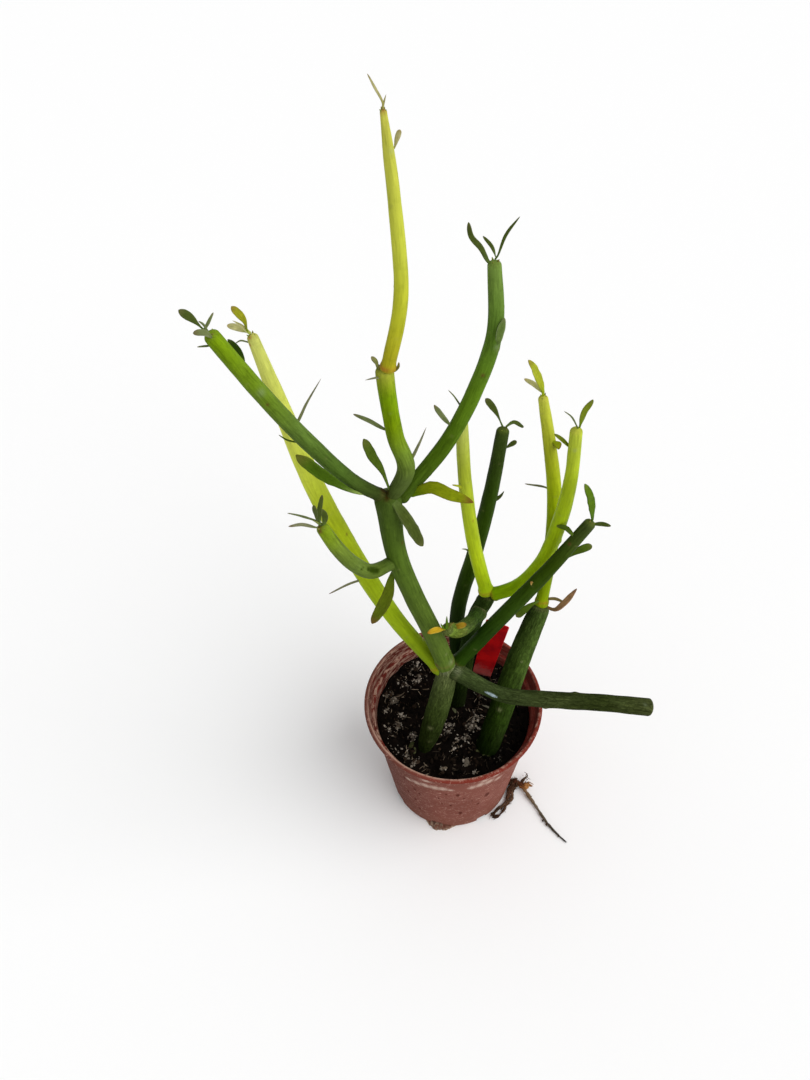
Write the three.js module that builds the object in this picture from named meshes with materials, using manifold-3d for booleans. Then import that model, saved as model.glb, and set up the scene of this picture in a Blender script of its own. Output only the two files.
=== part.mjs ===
// A pencil euphorbia in a nursery pot: three rooted cuttings with thin fleshy leaves, standing in peat.
// Millimetres, +Z up. The origin is the centre of the pot's underside.
import * as THREE from "three";
import { mergeVertices } from "three/addons/utils/BufferGeometryUtils.js";
import Module from "manifold-3d";

const wasm = await Module();
wasm.setup();

// ---------------------------------------------------------------- driving dimensions

const GAP = 0.3; // left between pieces that touch

const RIM_DIAMETER = 90;
const POT_HEIGHT = 80;
const FOOT_DIAMETER = 64.6;
const WALL = 1.3;
const BAND_HEIGHT = 9; // the proud band under the lip
const BAND_STEP = 2.2; // how far the band stands out of the wall
const LIP_HEIGHT = 2.4;
const LIP_STEP = 1.1; // how far the lip stands out of the band
const POT_FACETS = 48;
const FLOOR_RISE = 2.2; // how far the drained part of the floor stands off the table
const FOOT_DISC_RADIUS = 12; // the flat disc in the middle of the underside
const FOOT_RING_WIDTH = 5;
const SLOT_COUNT = 8;
const SLOT_WIDTH = 6;
const SLOT_HEIGHT = 4.2;
const SLOT_START = THREE.MathUtils.degToRad(-17); // the slot that the root came out of

const SOIL_LEVEL = 67;
const SOIL_WAVE = 1.3; // height of the soil's lumps
const SOIL_FACETS = 32;
const SOIL_RINGS = 7;
const GRIT_COUNT = 14;
const GRIT_SEED = 11;
const GRIT_REACH = 33; // from the middle of the soil
const CRUST_RADIUS = 5.2; // the plug of soil at the front slot

const LABEL_LENGTH = 76;
const LABEL_TOP_WIDTH = 12;
const LABEL_POINT_WIDTH = 5;
const LABEL_THICKNESS = 0.9;
const LABEL_SUNK = 26; // how much of the label is in the soil
const LABEL_PLACE = [16.5, 22.5, SOIL_LEVEL]; // where it goes into the soil
const LABEL_UP = [6, -1.5, 50]; // it leans a little
const LABEL_ACROSS = [10.6, -4, -1.2];

const STEM_SIDES = 8;
const STEM_STEP = 11; // between a stem's rings
const FACET_GAIN = 1.04; // a flat-sided stem this much wider has a round one's section
const ROUND_END = 0.8; // length of a stem's rounded end, in radii
const LEAF_THICKNESS = 1.1;
const LEAF_SAG = 0.08; // how far a leaf's middle hangs, in leaf lengths, where the leaf doesn't say
// Places on a leaf, and the share of its full width there.
const LEAF_SHAPE = [[0, 0.34], [0.2, 0.42], [0.45, 0.92], [0.74, 1.1], [0.93, 0.78]];
const LIGHT = new THREE.Vector3(0, -0.63, 0.775); // leaves turn their faces this way

// ---------------------------------------------------------------- the cuttings
// path: points on a stem's middle line, from its foot to its tip. wide: its diameter at even steps.
// on: what it stands on, which its foot is cut to fit.
// leaves: [place on the stem from 0 to 1, tip, width, sag].

const STEMS = [
  {
    name: "front_trunk", colour: "#52703a", roughness: 0.65, on: [],
    path: [[-18, -18, 38], [-14, -18.5, 67.5], [-8.5, -15.5, 99], [-4, -12, 133]],
    wide: [9, 11.2, 11.8, 11.4, 10.8],
    leaves: [],
  },
  {
    name: "main_stem", colour: "#4f7d33", roughness: 0.5, on: ["front_trunk"],
    path: [[-4, -12, 130.5], [-11, -11, 158], [-19, -7.5, 182], [-25.5, -4, 207], [-28, 2, 237]],
    wide: [9.6, 9, 8.6, 8.8, 9.6],
    leaves: [
      [0.86, [-59.5, -9.5, 271], 5.4, -0.03],
      [0.96, [-14.5, -9, 216.5], 4.8],
      [0.65, [-37, -10, 165.5], 5.2],
    ],
  },
  {
    name: "centre_stem", colour: "#6d8f35", roughness: 0.5, on: ["main_stem"],
    path: [[-25, 1, 233], [-20.5, 3, 247.5], [-24, 5.5, 263], [-26, 8, 278.5], [-27, 8.5, 294]],
    wide: [6.2, 6.9, 6.3, 6.3, 6.8],
    leaves: [
      [0.04, [-35.5, 2.5, 264.5], 4.2],
      [0.57, [-39, 10, 270.5], 2.2],
      [0.34, [-12.5, 12.5, 260.5], 1.5],
      [0.9, [-31, 5, 301], 1.5],
      [0.9, [-33, 3, 293], 1.3],
    ],
  },
  {
    name: "yellow_top_shoot", colour: "#b5bb34", roughness: 0.5, on: ["centre_stem"],
    path: [[-26, 8, 292], [-20.5, 11, 320.5], [-21.5, 17, 350.5], [-24, 21, 378.5]],
    wide: [5, 5, 4.6, 4.2, 2.4],
    leaves: [
      [0.99, [-28, 17, 391], 1.2],
      [0.99, [-23, 24, 382], 1],
      [0.87, [-19.5, 23.5, 371], 1.8],
    ],
  },
  {
    name: "right_green_shoot", colour: "#3f7a2c", roughness: 0.45, on: ["main_stem", "centre_stem"],
    path: [[-24, 2, 231], [-5, 13.5, 250], [6, 20.5, 270.5], [12.5, 25, 294], [11.5, 30, 320.5]],
    wide: [5.6, 6.2, 6.1, 5.9, 4.9],
    leaves: [
      [0.14, [5, 0, 231.5], 5.4],
      [0.34, [-9, 13, 271], 2.2],
      [0.67, [15.5, 27, 298], 3.2],
      [0.98, [1.5, 26, 337.5], 2.6],
      [0.99, [8.5, 33, 327], 1.6],
      [0.99, [19, 33, 335], 1.6],
    ],
  },
  {
    name: "left_green_shoot", colour: "#4f8020", roughness: 0.45, on: ["main_stem", "centre_stem"],
    path: [[-28.5, 1.5, 233.5], [-41, -0.5, 246.5], [-55.5, -0.5, 267.5], [-69, -1, 292], [-81.5, -4, 321]],
    wide: [5, 5.9, 6.3, 6.1, 5.4],
    leaves: [
      [0.99, [-88.5, -6, 331.5], 3.2],
      [0.97, [-88, 0, 317.5], 2.4],
      [0.95, [-85.5, -6, 317], 1.2],
      [0.99, [-80, 0, 325.5], 1.4],
      [0.86, [-77, 2, 313], 2.2],
      [0.45, [-65.5, -2, 273.5], 1.2],
    ],
  },
  {
    name: "hooked_side_shoot", colour: "#62893c", roughness: 0.5, on: ["main_stem"],
    path: [[-26.5, -5, 201.5], [-36, -14.5, 207], [-41.5, -18.5, 219.5], [-47, -21.5, 232], [-52, -22, 246]],
    wide: [4.8, 6, 6, 5.6, 4.8],
    leaves: [
      [0.99, [-50.5, -19, 259.5], 2.1],
      [0.98, [-52, -25, 262.5], 1.8],
      [0.98, [-64, -18, 248.5], 1.2],
      [0.97, [-63, -26, 251], 1.6],
    ],
  },
  {
    name: "long_yellow_shoot", colour: "#a9b52c", roughness: 0.5, on: ["front_trunk", "main_stem"],
    path: [[-5.5, -12.5, 126.5], [-27, -0.5, 154.5], [-45, 12.5, 187], [-58, 21, 220.5],
      [-66.5, 26.5, 254.5], [-75, 32.5, 290.5]],
    wide: [6.2, 8, 8.9, 7.8, 4.8],
    leaves: [
      [0.99, [-79.5, 29.5, 305], 3.2],
      [0.99, [-83.5, 36.5, 291.5], 2.4],
      [0.97, [-81.5, 34, 285.5], 1.2],
      [0.77, [-51.5, 32.5, 268], 1.2],
    ],
  },
  {
    name: "low_bare_arm", colour: "#3d512c", roughness: 0.7, on: ["front_trunk", "main_stem"],
    path: [[-3, -12, 129], [19.5, -23, 123], [40.5, -26, 122], [64, -28, 121.5], [89, -29, 117.5]],
    wide: [6.6, 7, 7.7, 7.9, 8.1],
    leaves: [],
  },
  {
    name: "slanting_shoot", colour: "#2f6a22", roughness: 0.45,
    on: ["front_trunk", "main_stem", "low_bare_arm"],
    path: [[-2, -11, 128.5], [18.5, -6, 159], [37, -2, 187], [54, 3, 214]],
    wide: [6.4, 7, 6.8, 6, 5],
    leaves: [
      [0.98, [47.5, -1, 240], 4],
      [0.97, [61.5, 0, 213.5], 2.2],
      [0.75, [55.5, 3, 198.5], 3.8],
      [0.93, [39.5, 1, 213.5], 2.6, 0],
    ],
  },
  {
    name: "middle_trunk", colour: "#3a5230", roughness: 0.6, on: [],
    path: [[0, 4, 38], [2.5, 6, 67], [5, 7, 95], [7.5, 8, 122], [9.5, 9, 138], [15, 10.5, 154]],
    wide: [7.2, 8.2, 8.2, 7.8, 7.6],
    leaves: [],
  },
  {
    name: "middle_stub", colour: "#4e7040", roughness: 0.6, on: ["middle_trunk"],
    path: [[12, 8, 146], [5.5, -4, 153.5], [0, -13.5, 163], [-5.5, -20.5, 174.5]],
    wide: [6.2, 6.7, 6.7, 6.5, 5.6],
    leaves: [
      [0.97, [-14.5, -24, 177], 2.6],
      [0.93, [2.5, -17.5, 175.5], 2.6],
      [0.99, [-5.5, -22, 183], 1.6],
    ],
  },
  {
    name: "dark_back_shoot", colour: "#27451f", roughness: 0.5, on: ["middle_trunk"],
    path: [[5, 7.5, 93], [2, 14.5, 110], [3, 21, 133], [10.5, 28, 167], [16, 32.5, 199.5], [20, 37, 234.5]],
    wide: [6.6, 7.2, 7.2, 6.5, 5.4],
    leaves: [
      [0.99, [12.5, 40, 247.5], 3],
      [0.99, [28.5, 42, 230.5], 1.8],
      [0.94, [26, 38, 225.5], 1.8],
      [0.78, [22, 34.5, 198.5], 1.8],
    ],
  },
  {
    name: "curved_yellow_shoot", colour: "#93bb14", roughness: 0.5, on: ["middle_trunk"],
    path: [[15, 9.5, 152], [27.5, 8.5, 162.5], [37, 8, 181.5], [42, 8.5, 206.5], [43.5, 6.5, 235],
      [42.5, 6, 263.5]],
    wide: [6.2, 6.4, 6.4, 5.4, 4.8],
    leaves: [
      [0.99, [38, 10, 268.5], 1.2],
      [0.99, [45.5, 3, 280], 2.6],
      [0.91, [36, 11.5, 255], 1.6],
    ],
  },
  {
    name: "upright_yellow_shoot", colour: "#a8c022", roughness: 0.5,
    on: ["middle_trunk", "curved_yellow_shoot"],
    path: [[14.5, 11, 150], [8, 14.5, 187], [3.5, 19, 222.5], [1.5, 22, 256]],
    wide: [6.2, 6.2, 5.8, 5.5, 4.6],
    leaves: [
      [0.99, [-3.5, 19, 272.5], 1.2],
      [0.65, [-2, 15.5, 223.5], 1.3],
      [0.31, [2, 11.5, 188], 1.3],
    ],
  },
  {
    name: "right_trunk", colour: "#3d6b35", roughness: 0.6, on: [],
    path: [[12, -20, 36], [16.5, -19, 66], [22.5, -14, 96], [30, -4, 124], [39, 6, 152.5]],
    wide: [9.5, 11.8, 11.6, 11, 8.9],
    leaves: [
      [0.94, [27.5, 2, 150.5], 3.6],
      [0.94, [53, 3, 167.5], 2.6, 0.2],
      [0.94, [49, 8, 151.5], 1.6],
    ],
  },
  {
    name: "right_yellow_shoot", colour: "#a6b52a", roughness: 0.5, on: ["right_trunk"],
    path: [[39, 6, 150.5], [42, 16.5, 182.5], [41.5, 22, 208.5], [37.5, 25, 235.5], [32.5, 26, 261.5]],
    wide: [5.4, 6, 6.1, 5.3, 3.9],
    leaves: [
      [0.99, [25.5, 23, 281.5], 3.4],
      [0.99, [26, 30, 267], 2],
      [0.76, [42, 24, 238.5], 3],
      [0.55, [29.5, 27.5, 209.5], 1.3],
    ],
  },
];

// The root that grew out of the pot and dried on the table: strands with a width at each point.
const ROOT_SIDES = 6;
const ROOT_STEP = 5;
const ROOT_STRANDS = [
  { path: [[31, -9.5, 1.5], [34.5, -10, 2.6], [39.5, -9.3, 2.7], [42, -12, 1.8]], wide: [2, 5, 5.2, 2.4] },
  { path: [[40.5, -10.5, 2.2], [44.5, -19, 1.4], [50, -28.5, 0.9], [60, -44, 0.5]], wide: [2.2, 1.5, 0.8] },
  { path: [[35, -10.5, 2.5], [35.5, -16, 1.8], [30, -23.5, 1.3], [22.5, -27.5, 1]], wide: [3.4, 2.5, 1.8] },
  { path: [[36.5, -11, 2.2], [38.5, -17.5, 1.4], [33, -25, 1], [23.5, -28.5, 0.9]], wide: [2.4, 1.6] },
  { path: [[38, -9, 3.2], [41.5, -6, 4.2], [43.5, -2.5, 5]], wide: [2.4, 1.8, 1] },
];

// ---------------------------------------------------------------- solids

const vector = ([x, y, z]) => new THREE.Vector3(x, y, z);

// A closed geometry as a solid that can be joined and cut.
function solidOf(geometry) {
  const bare = new THREE.BufferGeometry();
  bare.setAttribute("position", geometry.getAttribute("position").clone());
  if (geometry.index) bare.setIndex(geometry.index.clone());
  const merged = mergeVertices(bare, 1e-4);
  const vertProperties = new Float32Array(merged.getAttribute("position").array);
  const triVerts = new Uint32Array(merged.index.array);
  return new wasm.Manifold(new wasm.Mesh({ numProp: 3, vertProperties, triVerts }));
}

// A solid as a named mesh. Crumbs that a cut leaves loose are dropped.
function meshOf(name, solid, colour, roughness) {
  const whole = solid.decompose().reduce((a, b) => (a.volume() > b.volume() ? a : b));
  const cut = whole.getMesh();
  const geometry = new THREE.BufferGeometry();
  geometry.setAttribute("position", new THREE.BufferAttribute(new Float32Array(cut.vertProperties), 3));
  geometry.setIndex(new THREE.BufferAttribute(new Uint32Array(cut.triVerts), 1));
  geometry.computeVertexNormals();
  const material = new THREE.MeshStandardMaterial({ color: colour, roughness, metalness: 0 });
  const mesh = new THREE.Mesh(geometry, material);
  mesh.name = name;
  return mesh;
}

// A closed skin over rings of points that run from one pole to the other.
function skinOf(rings, firstPole, lastPole) {
  const sides = rings[0].length;
  const points = [firstPole, ...rings.flat(), lastPole];
  const faces = [];
  const at = (ring, side) => 1 + ring * sides + (side % sides);
  for (let side = 0; side < sides; side++) {
    faces.push(0, at(0, side + 1), at(0, side));
    for (let ring = 0; ring + 1 < rings.length; ring++) {
      faces.push(at(ring, side), at(ring, side + 1), at(ring + 1, side + 1));
      faces.push(at(ring, side), at(ring + 1, side + 1), at(ring + 1, side));
    }
    faces.push(points.length - 1, at(rings.length - 1, side), at(rings.length - 1, side + 1));
  }
  const geometry = new THREE.BufferGeometry().setFromPoints(points);
  geometry.setIndex(faces);
  return geometry;
}

// A value read off a list at even steps, joined by straight lines.
function along(list, place) {
  const x = THREE.MathUtils.clamp(place, 0, 1) * (list.length - 1);
  const step = Math.min(Math.floor(x), list.length - 2);
  return THREE.MathUtils.lerp(list[step], list[step + 1], x - step);
}

// A round stem along a curve with rounded ends, grown all over by extra.
function roundStem(path, wide, sides, step, extra = 0) {
  const curve = new THREE.CatmullRomCurve3(path.map(vector));
  const length = curve.getLength();
  const foot = (wide[0] / 2 + extra) * ROUND_END;
  const tip = (wide.at(-1) / 2 + extra) * ROUND_END;
  const middle = Math.max(2, Math.round((length - foot - tip) / step));
  const places = [0.16 * foot, 0.5 * foot];
  for (let i = 0; i <= middle; i++) places.push(foot + ((length - foot - tip) * i) / middle);
  places.push(length - 0.5 * tip, length - 0.16 * tip);
  const count = 240; // steps of the frame that is carried along the curve
  const frames = curve.computeFrenetFrames(count, false);
  const rings = places.map((s) => {
    const place = s / length;
    const k = Math.round(place * count);
    const fromFoot = Math.max(0, 1 - s / foot);
    const fromTip = Math.max(0, 1 - (length - s) / tip);
    const centre = curve.getPointAt(place).addScaledVector(frames.tangents[k], extra * (fromTip - fromFoot));
    const round = Math.sqrt((1 - fromFoot ** 2) * (1 - fromTip ** 2));
    const radius = ((along(wide, place) / 2) * FACET_GAIN + extra) * round;
    return Array.from({ length: sides }, (_, i) => {
      const angle = (2 * Math.PI * i) / sides;
      return centre.clone()
        .addScaledVector(frames.normals[k], radius * Math.cos(angle))
        .addScaledVector(frames.binormals[k], radius * Math.sin(angle));
    });
  });
  const pole = (place, reach) => curve.getPointAt(place).addScaledVector(curve.getTangentAt(place), reach);
  return skinOf(rings, pole(0, -extra), pole(1, extra));
}

// A fleshy leaf from root to tip: a narrow stalk that widens into a rounded blade, six-sided in section.
function leafBlade(root, tip, width, sag = LEAF_SAG) {
  const span = tip.clone().sub(root);
  const length = span.length();
  const down = LIGHT.clone().multiplyScalar(-sag * length);
  const bend = root.clone().add(tip).multiplyScalar(0.5).add(down);
  const rib = new THREE.QuadraticBezierCurve3(root, bend, tip);
  const across = span.clone().cross(LIGHT).normalize();
  const thick = Math.min(LEAF_THICKNESS, width * 0.75);
  const rings = LEAF_SHAPE.map(([place, share]) => {
    const middle = rib.getPoint(place);
    const face = rib.getTangent(place).cross(across).normalize();
    const half = (width * share) / 2;
    const body = Math.max(0.3, (thick / 2) * Math.sqrt(share));
    return [[1, 0], [0.5, 1], [-0.5, 1], [-1, 0], [-0.5, -1], [0.5, -1]].map(([a, b]) =>
      middle.clone().addScaledVector(across, Math.max(half, 0.4) * a).addScaledVector(face, body * b));
  });
  return skinOf(rings, root.clone().addScaledVector(span, -0.02), tip);
}

// Numbers from 0 to 1 that follow from a seed.
function seeded(seed) {
  let state = seed;
  return () => {
    state = (state * 1664525 + 1013904223) % 4294967296;
    return state / 4294967296;
  };
}

// ---------------------------------------------------------------- pot

const FOOT_RADIUS = FOOT_DIAMETER / 2;
const RIM_RADIUS = RIM_DIAMETER / 2;
const STEP_HEIGHT = POT_HEIGHT - BAND_HEIGHT; // where the band starts
const BAND_RADIUS = RIM_RADIUS - LIP_STEP;
const SHOULDER_RADIUS = BAND_RADIUS - BAND_STEP - 0.9; // the wall's radius under the band

// The outer radius of the tapered wall at a height.
const wallRadius = (z) => FOOT_RADIUS + ((SHOULDER_RADIUS - FOOT_RADIUS) * z) / (STEP_HEIGHT - 1.5);

function potSolid() {
  const discEdge = FOOT_DISC_RADIUS;
  const footInside = FOOT_RADIUS - FOOT_RING_WIDTH;
  const outline = [
    [0, 0], [discEdge, 0], [discEdge + 1.4, FLOOR_RISE], [footInside - 1.4, FLOOR_RISE], [footInside, 0],
    [FOOT_RADIUS - 0.8, 0], [wallRadius(0.8), 0.8],
    [SHOULDER_RADIUS, STEP_HEIGHT - 1.5], [SHOULDER_RADIUS + 0.4, STEP_HEIGHT],
    [BAND_RADIUS - 0.9, STEP_HEIGHT + 0.4], [BAND_RADIUS, POT_HEIGHT - LIP_HEIGHT],
    [RIM_RADIUS - 0.2, POT_HEIGHT - LIP_HEIGHT + 0.4], [RIM_RADIUS, POT_HEIGHT - 1.2],
    [RIM_RADIUS - 0.5, POT_HEIGHT - 0.3], [RIM_RADIUS - 1.3, POT_HEIGHT],
    [RIM_RADIUS - 2.1, POT_HEIGHT - 0.4], [BAND_RADIUS - WALL, POT_HEIGHT - LIP_HEIGHT],
    [BAND_RADIUS - 0.9 - WALL, STEP_HEIGHT + 1.4], [SHOULDER_RADIUS + 0.4 - WALL, STEP_HEIGHT + 0.6],
    [SHOULDER_RADIUS - WALL, STEP_HEIGHT - 1.5],
    [wallRadius(WALL + 1) - WALL, WALL + 1], [FOOT_RADIUS - 0.8 - WALL, WALL], [footInside + WALL, WALL],
    [footInside, FLOOR_RISE + WALL], [discEdge, FLOOR_RISE + WALL], [discEdge - WALL, WALL], [0, WALL],
  ].map(([r, z]) => new THREE.Vector2(r, z));
  let pot = solidOf(new THREE.LatheGeometry(outline, POT_FACETS).rotateX(Math.PI / 2));
  for (let i = 0; i < SLOT_COUNT; i++) {
    const angle = SLOT_START + (2 * Math.PI * i) / SLOT_COUNT;
    const slot = new THREE.BoxGeometry(10, SLOT_WIDTH, SLOT_HEIGHT + 2)
      .translate(FOOT_RADIUS, 0, SLOT_HEIGHT / 2 - 1)
      .rotateZ(angle);
    pot = pot.subtract(solidOf(slot));
  }
  return pot;
}

// ---------------------------------------------------------------- soil

const soilHeight = (x, y) =>
  SOIL_LEVEL + SOIL_WAVE * (0.6 * Math.sin(x / 5 + 1) * Math.cos(y / 6) + 0.4 * Math.sin(x / 2.7 + y / 3.1));

function soilSolid(stakes) {
  const inner = (z) => wallRadius(z) - WALL - GAP;
  const floor = FLOOR_RISE + WALL + GAP;
  const ring = (radius, height) =>
    Array.from({ length: SOIL_FACETS }, (_, i) => {
      const angle = (2 * Math.PI * i) / SOIL_FACETS;
      const [x, y] = [radius * Math.cos(angle), radius * Math.sin(angle)];
      return new THREE.Vector3(x, y, height(x, y));
    });
  const flat = () => floor;
  const rings = [ring(inner(floor) * 0.5, flat), ring(inner(floor) - 0.6, flat)];
  rings.push(ring(inner(SOIL_LEVEL / 2) - 0.2, () => SOIL_LEVEL / 2));
  for (let i = 0; i < SOIL_RINGS; i++) {
    rings.push(ring((inner(SOIL_LEVEL) - 0.4) * (1 - i / SOIL_RINGS), soilHeight));
  }
  const top = new THREE.Vector3(0, 0, soilHeight(0, 0));
  let soil = solidOf(skinOf(rings, new THREE.Vector3(0, 0, floor), top));
  const random = seeded(GRIT_SEED);
  for (let i = 0; i < GRIT_COUNT; i++) {
    const angle = 2 * Math.PI * random();
    const reach = GRIT_REACH * Math.sqrt(random());
    const [x, y] = [reach * Math.cos(angle), reach * Math.sin(angle)];
    const grain = new THREE.IcosahedronGeometry(1.1 + 0.9 * random(), 0);
    grain.scale(1.2, 1, 0.8).rotateZ(angle).translate(x, y, soilHeight(x, y) + 0.2);
    soil = soil.add(solidOf(grain));
  }
  return stakes.reduce((left, stake) => left.subtract(stake), soil);
}

// The plug of soil that washed out of the front slot and dried against the foot.
function crustSolid() {
  const angle = SLOT_START - Math.PI / 2;
  const reach = FOOT_RADIUS + 0.5;
  const crust = new THREE.IcosahedronGeometry(CRUST_RADIUS, 1)
    .scale(1.25, 0.75, 0.5)
    .rotateZ(angle + Math.PI / 2)
    .translate(reach * Math.cos(angle), reach * Math.sin(angle), CRUST_RADIUS * 0.4);
  const table = new THREE.BoxGeometry(RIM_DIAMETER, RIM_DIAMETER, 20).translate(0, 0, -10);
  const wall = new THREE.CylinderGeometry(wallRadius(10) + GAP, wallRadius(0) + GAP, 10, POT_FACETS)
    .rotateX(Math.PI / 2)
    .translate(0, 0, 5);
  return solidOf(crust).subtract(solidOf(table)).subtract(solidOf(wall));
}

// ---------------------------------------------------------------- label

function labelSolid(extra = 0) {
  const half = LABEL_TOP_WIDTH / 2 + extra;
  const point = LABEL_POINT_WIDTH / 2 + extra;
  const outline = new THREE.Shape();
  outline.moveTo(-point, -LABEL_SUNK - extra);
  outline.lineTo(point, -LABEL_SUNK - extra);
  outline.lineTo(half * 0.8, 0);
  outline.lineTo(half, LABEL_LENGTH - LABEL_SUNK);
  outline.lineTo(-half, LABEL_LENGTH - LABEL_SUNK);
  outline.lineTo(-half * 0.8, 0);
  const depth = LABEL_THICKNESS + 2 * extra;
  const plate = new THREE.ExtrudeGeometry(outline, { depth, bevelEnabled: false });
  plate.translate(0, 0, -depth / 2);
  const up = vector(LABEL_UP).normalize();
  const across = vector(LABEL_ACROSS).projectOnPlane(up).normalize();
  const turn = new THREE.Matrix4().makeBasis(across, up, across.clone().cross(up));
  return solidOf(plate.applyMatrix4(turn.setPosition(vector(LABEL_PLACE))));
}

// ---------------------------------------------------------------- stems with their leaves

const stemShape = ({ path, wide }, extra) => solidOf(roundStem(path, wide, STEM_SIDES, STEM_STEP, extra));

function leafyStem(stem) {
  const curve = new THREE.CatmullRomCurve3(stem.path.map(vector));
  let solid = stemShape(stem, 0);
  for (const [place, tip, width, sag] of stem.leaves) {
    solid = solid.add(solidOf(leafBlade(curve.getPointAt(place), vector(tip), width, sag)));
  }
  for (const name of stem.on) {
    solid = solid.subtract(stemShape(STEMS.find((other) => other.name === name), GAP));
  }
  return solid;
}

// ---------------------------------------------------------------- escaped root

function rootSolid() {
  const strands = ROOT_STRANDS.map(({ path, wide }) =>
    solidOf(roundStem(path, wide, ROOT_SIDES, ROOT_STEP)));
  return strands.reduce((a, b) => a.add(b));
}

// ---------------------------------------------------------------- the part

const plant = new THREE.Group();
const rooted = STEMS.filter((stem) => stem.on.length === 0);
const stakes = [...rooted.map((stem) => stemShape(stem, GAP)), labelSolid(GAP)];

plant.add(meshOf("pot", potSolid(), "#8a4a3e", 0.5));
plant.add(meshOf("soil", soilSolid(stakes), "#2a201b", 0.95));
plant.add(meshOf("plant_label", labelSolid(), "#b0141a", 0.35));
for (const stem of STEMS) plant.add(meshOf(stem.name, leafyStem(stem), stem.colour, stem.roughness));
plant.add(meshOf("escaped_root", rootSolid(), "#5b4334", 0.9));
plant.add(meshOf("soil_crust", crustSolid(), "#6a584a", 0.95));

export default plant;
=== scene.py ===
"""Potted euphorbia: three rooted cuttings with thin fleshy leaves, in a small nursery pot.
Sizes in the tables are in millimetres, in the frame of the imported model."""
import math

import bpy
import numpy as np
from mathutils import Matrix, Vector


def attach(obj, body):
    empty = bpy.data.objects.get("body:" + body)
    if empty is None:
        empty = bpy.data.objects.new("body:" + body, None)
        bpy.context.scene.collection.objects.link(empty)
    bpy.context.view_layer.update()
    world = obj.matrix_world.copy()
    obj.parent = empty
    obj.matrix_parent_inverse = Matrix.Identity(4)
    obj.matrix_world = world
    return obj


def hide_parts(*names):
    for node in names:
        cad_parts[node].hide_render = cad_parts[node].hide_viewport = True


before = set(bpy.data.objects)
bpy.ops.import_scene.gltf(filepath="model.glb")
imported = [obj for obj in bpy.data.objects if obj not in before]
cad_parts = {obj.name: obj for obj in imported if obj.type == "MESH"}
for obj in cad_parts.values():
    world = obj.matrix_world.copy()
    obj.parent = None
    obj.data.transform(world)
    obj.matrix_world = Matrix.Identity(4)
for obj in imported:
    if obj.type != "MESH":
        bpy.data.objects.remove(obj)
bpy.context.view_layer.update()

bl_info = {
    "name": "Potted Euphorbia",
    "version": (1, 0, 0),
    "blender": (4, 5, 0),
    "location": "3D View > Sidebar > Euphorbia",
    "description": "Builds a pencil-stemmed euphorbia in a nursery pot, piece by piece",
    "category": "Add Mesh",
}

MM = 0.001  # a millimetre in metres

# ---------------------------------------------------------------- the plant's measures

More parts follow.
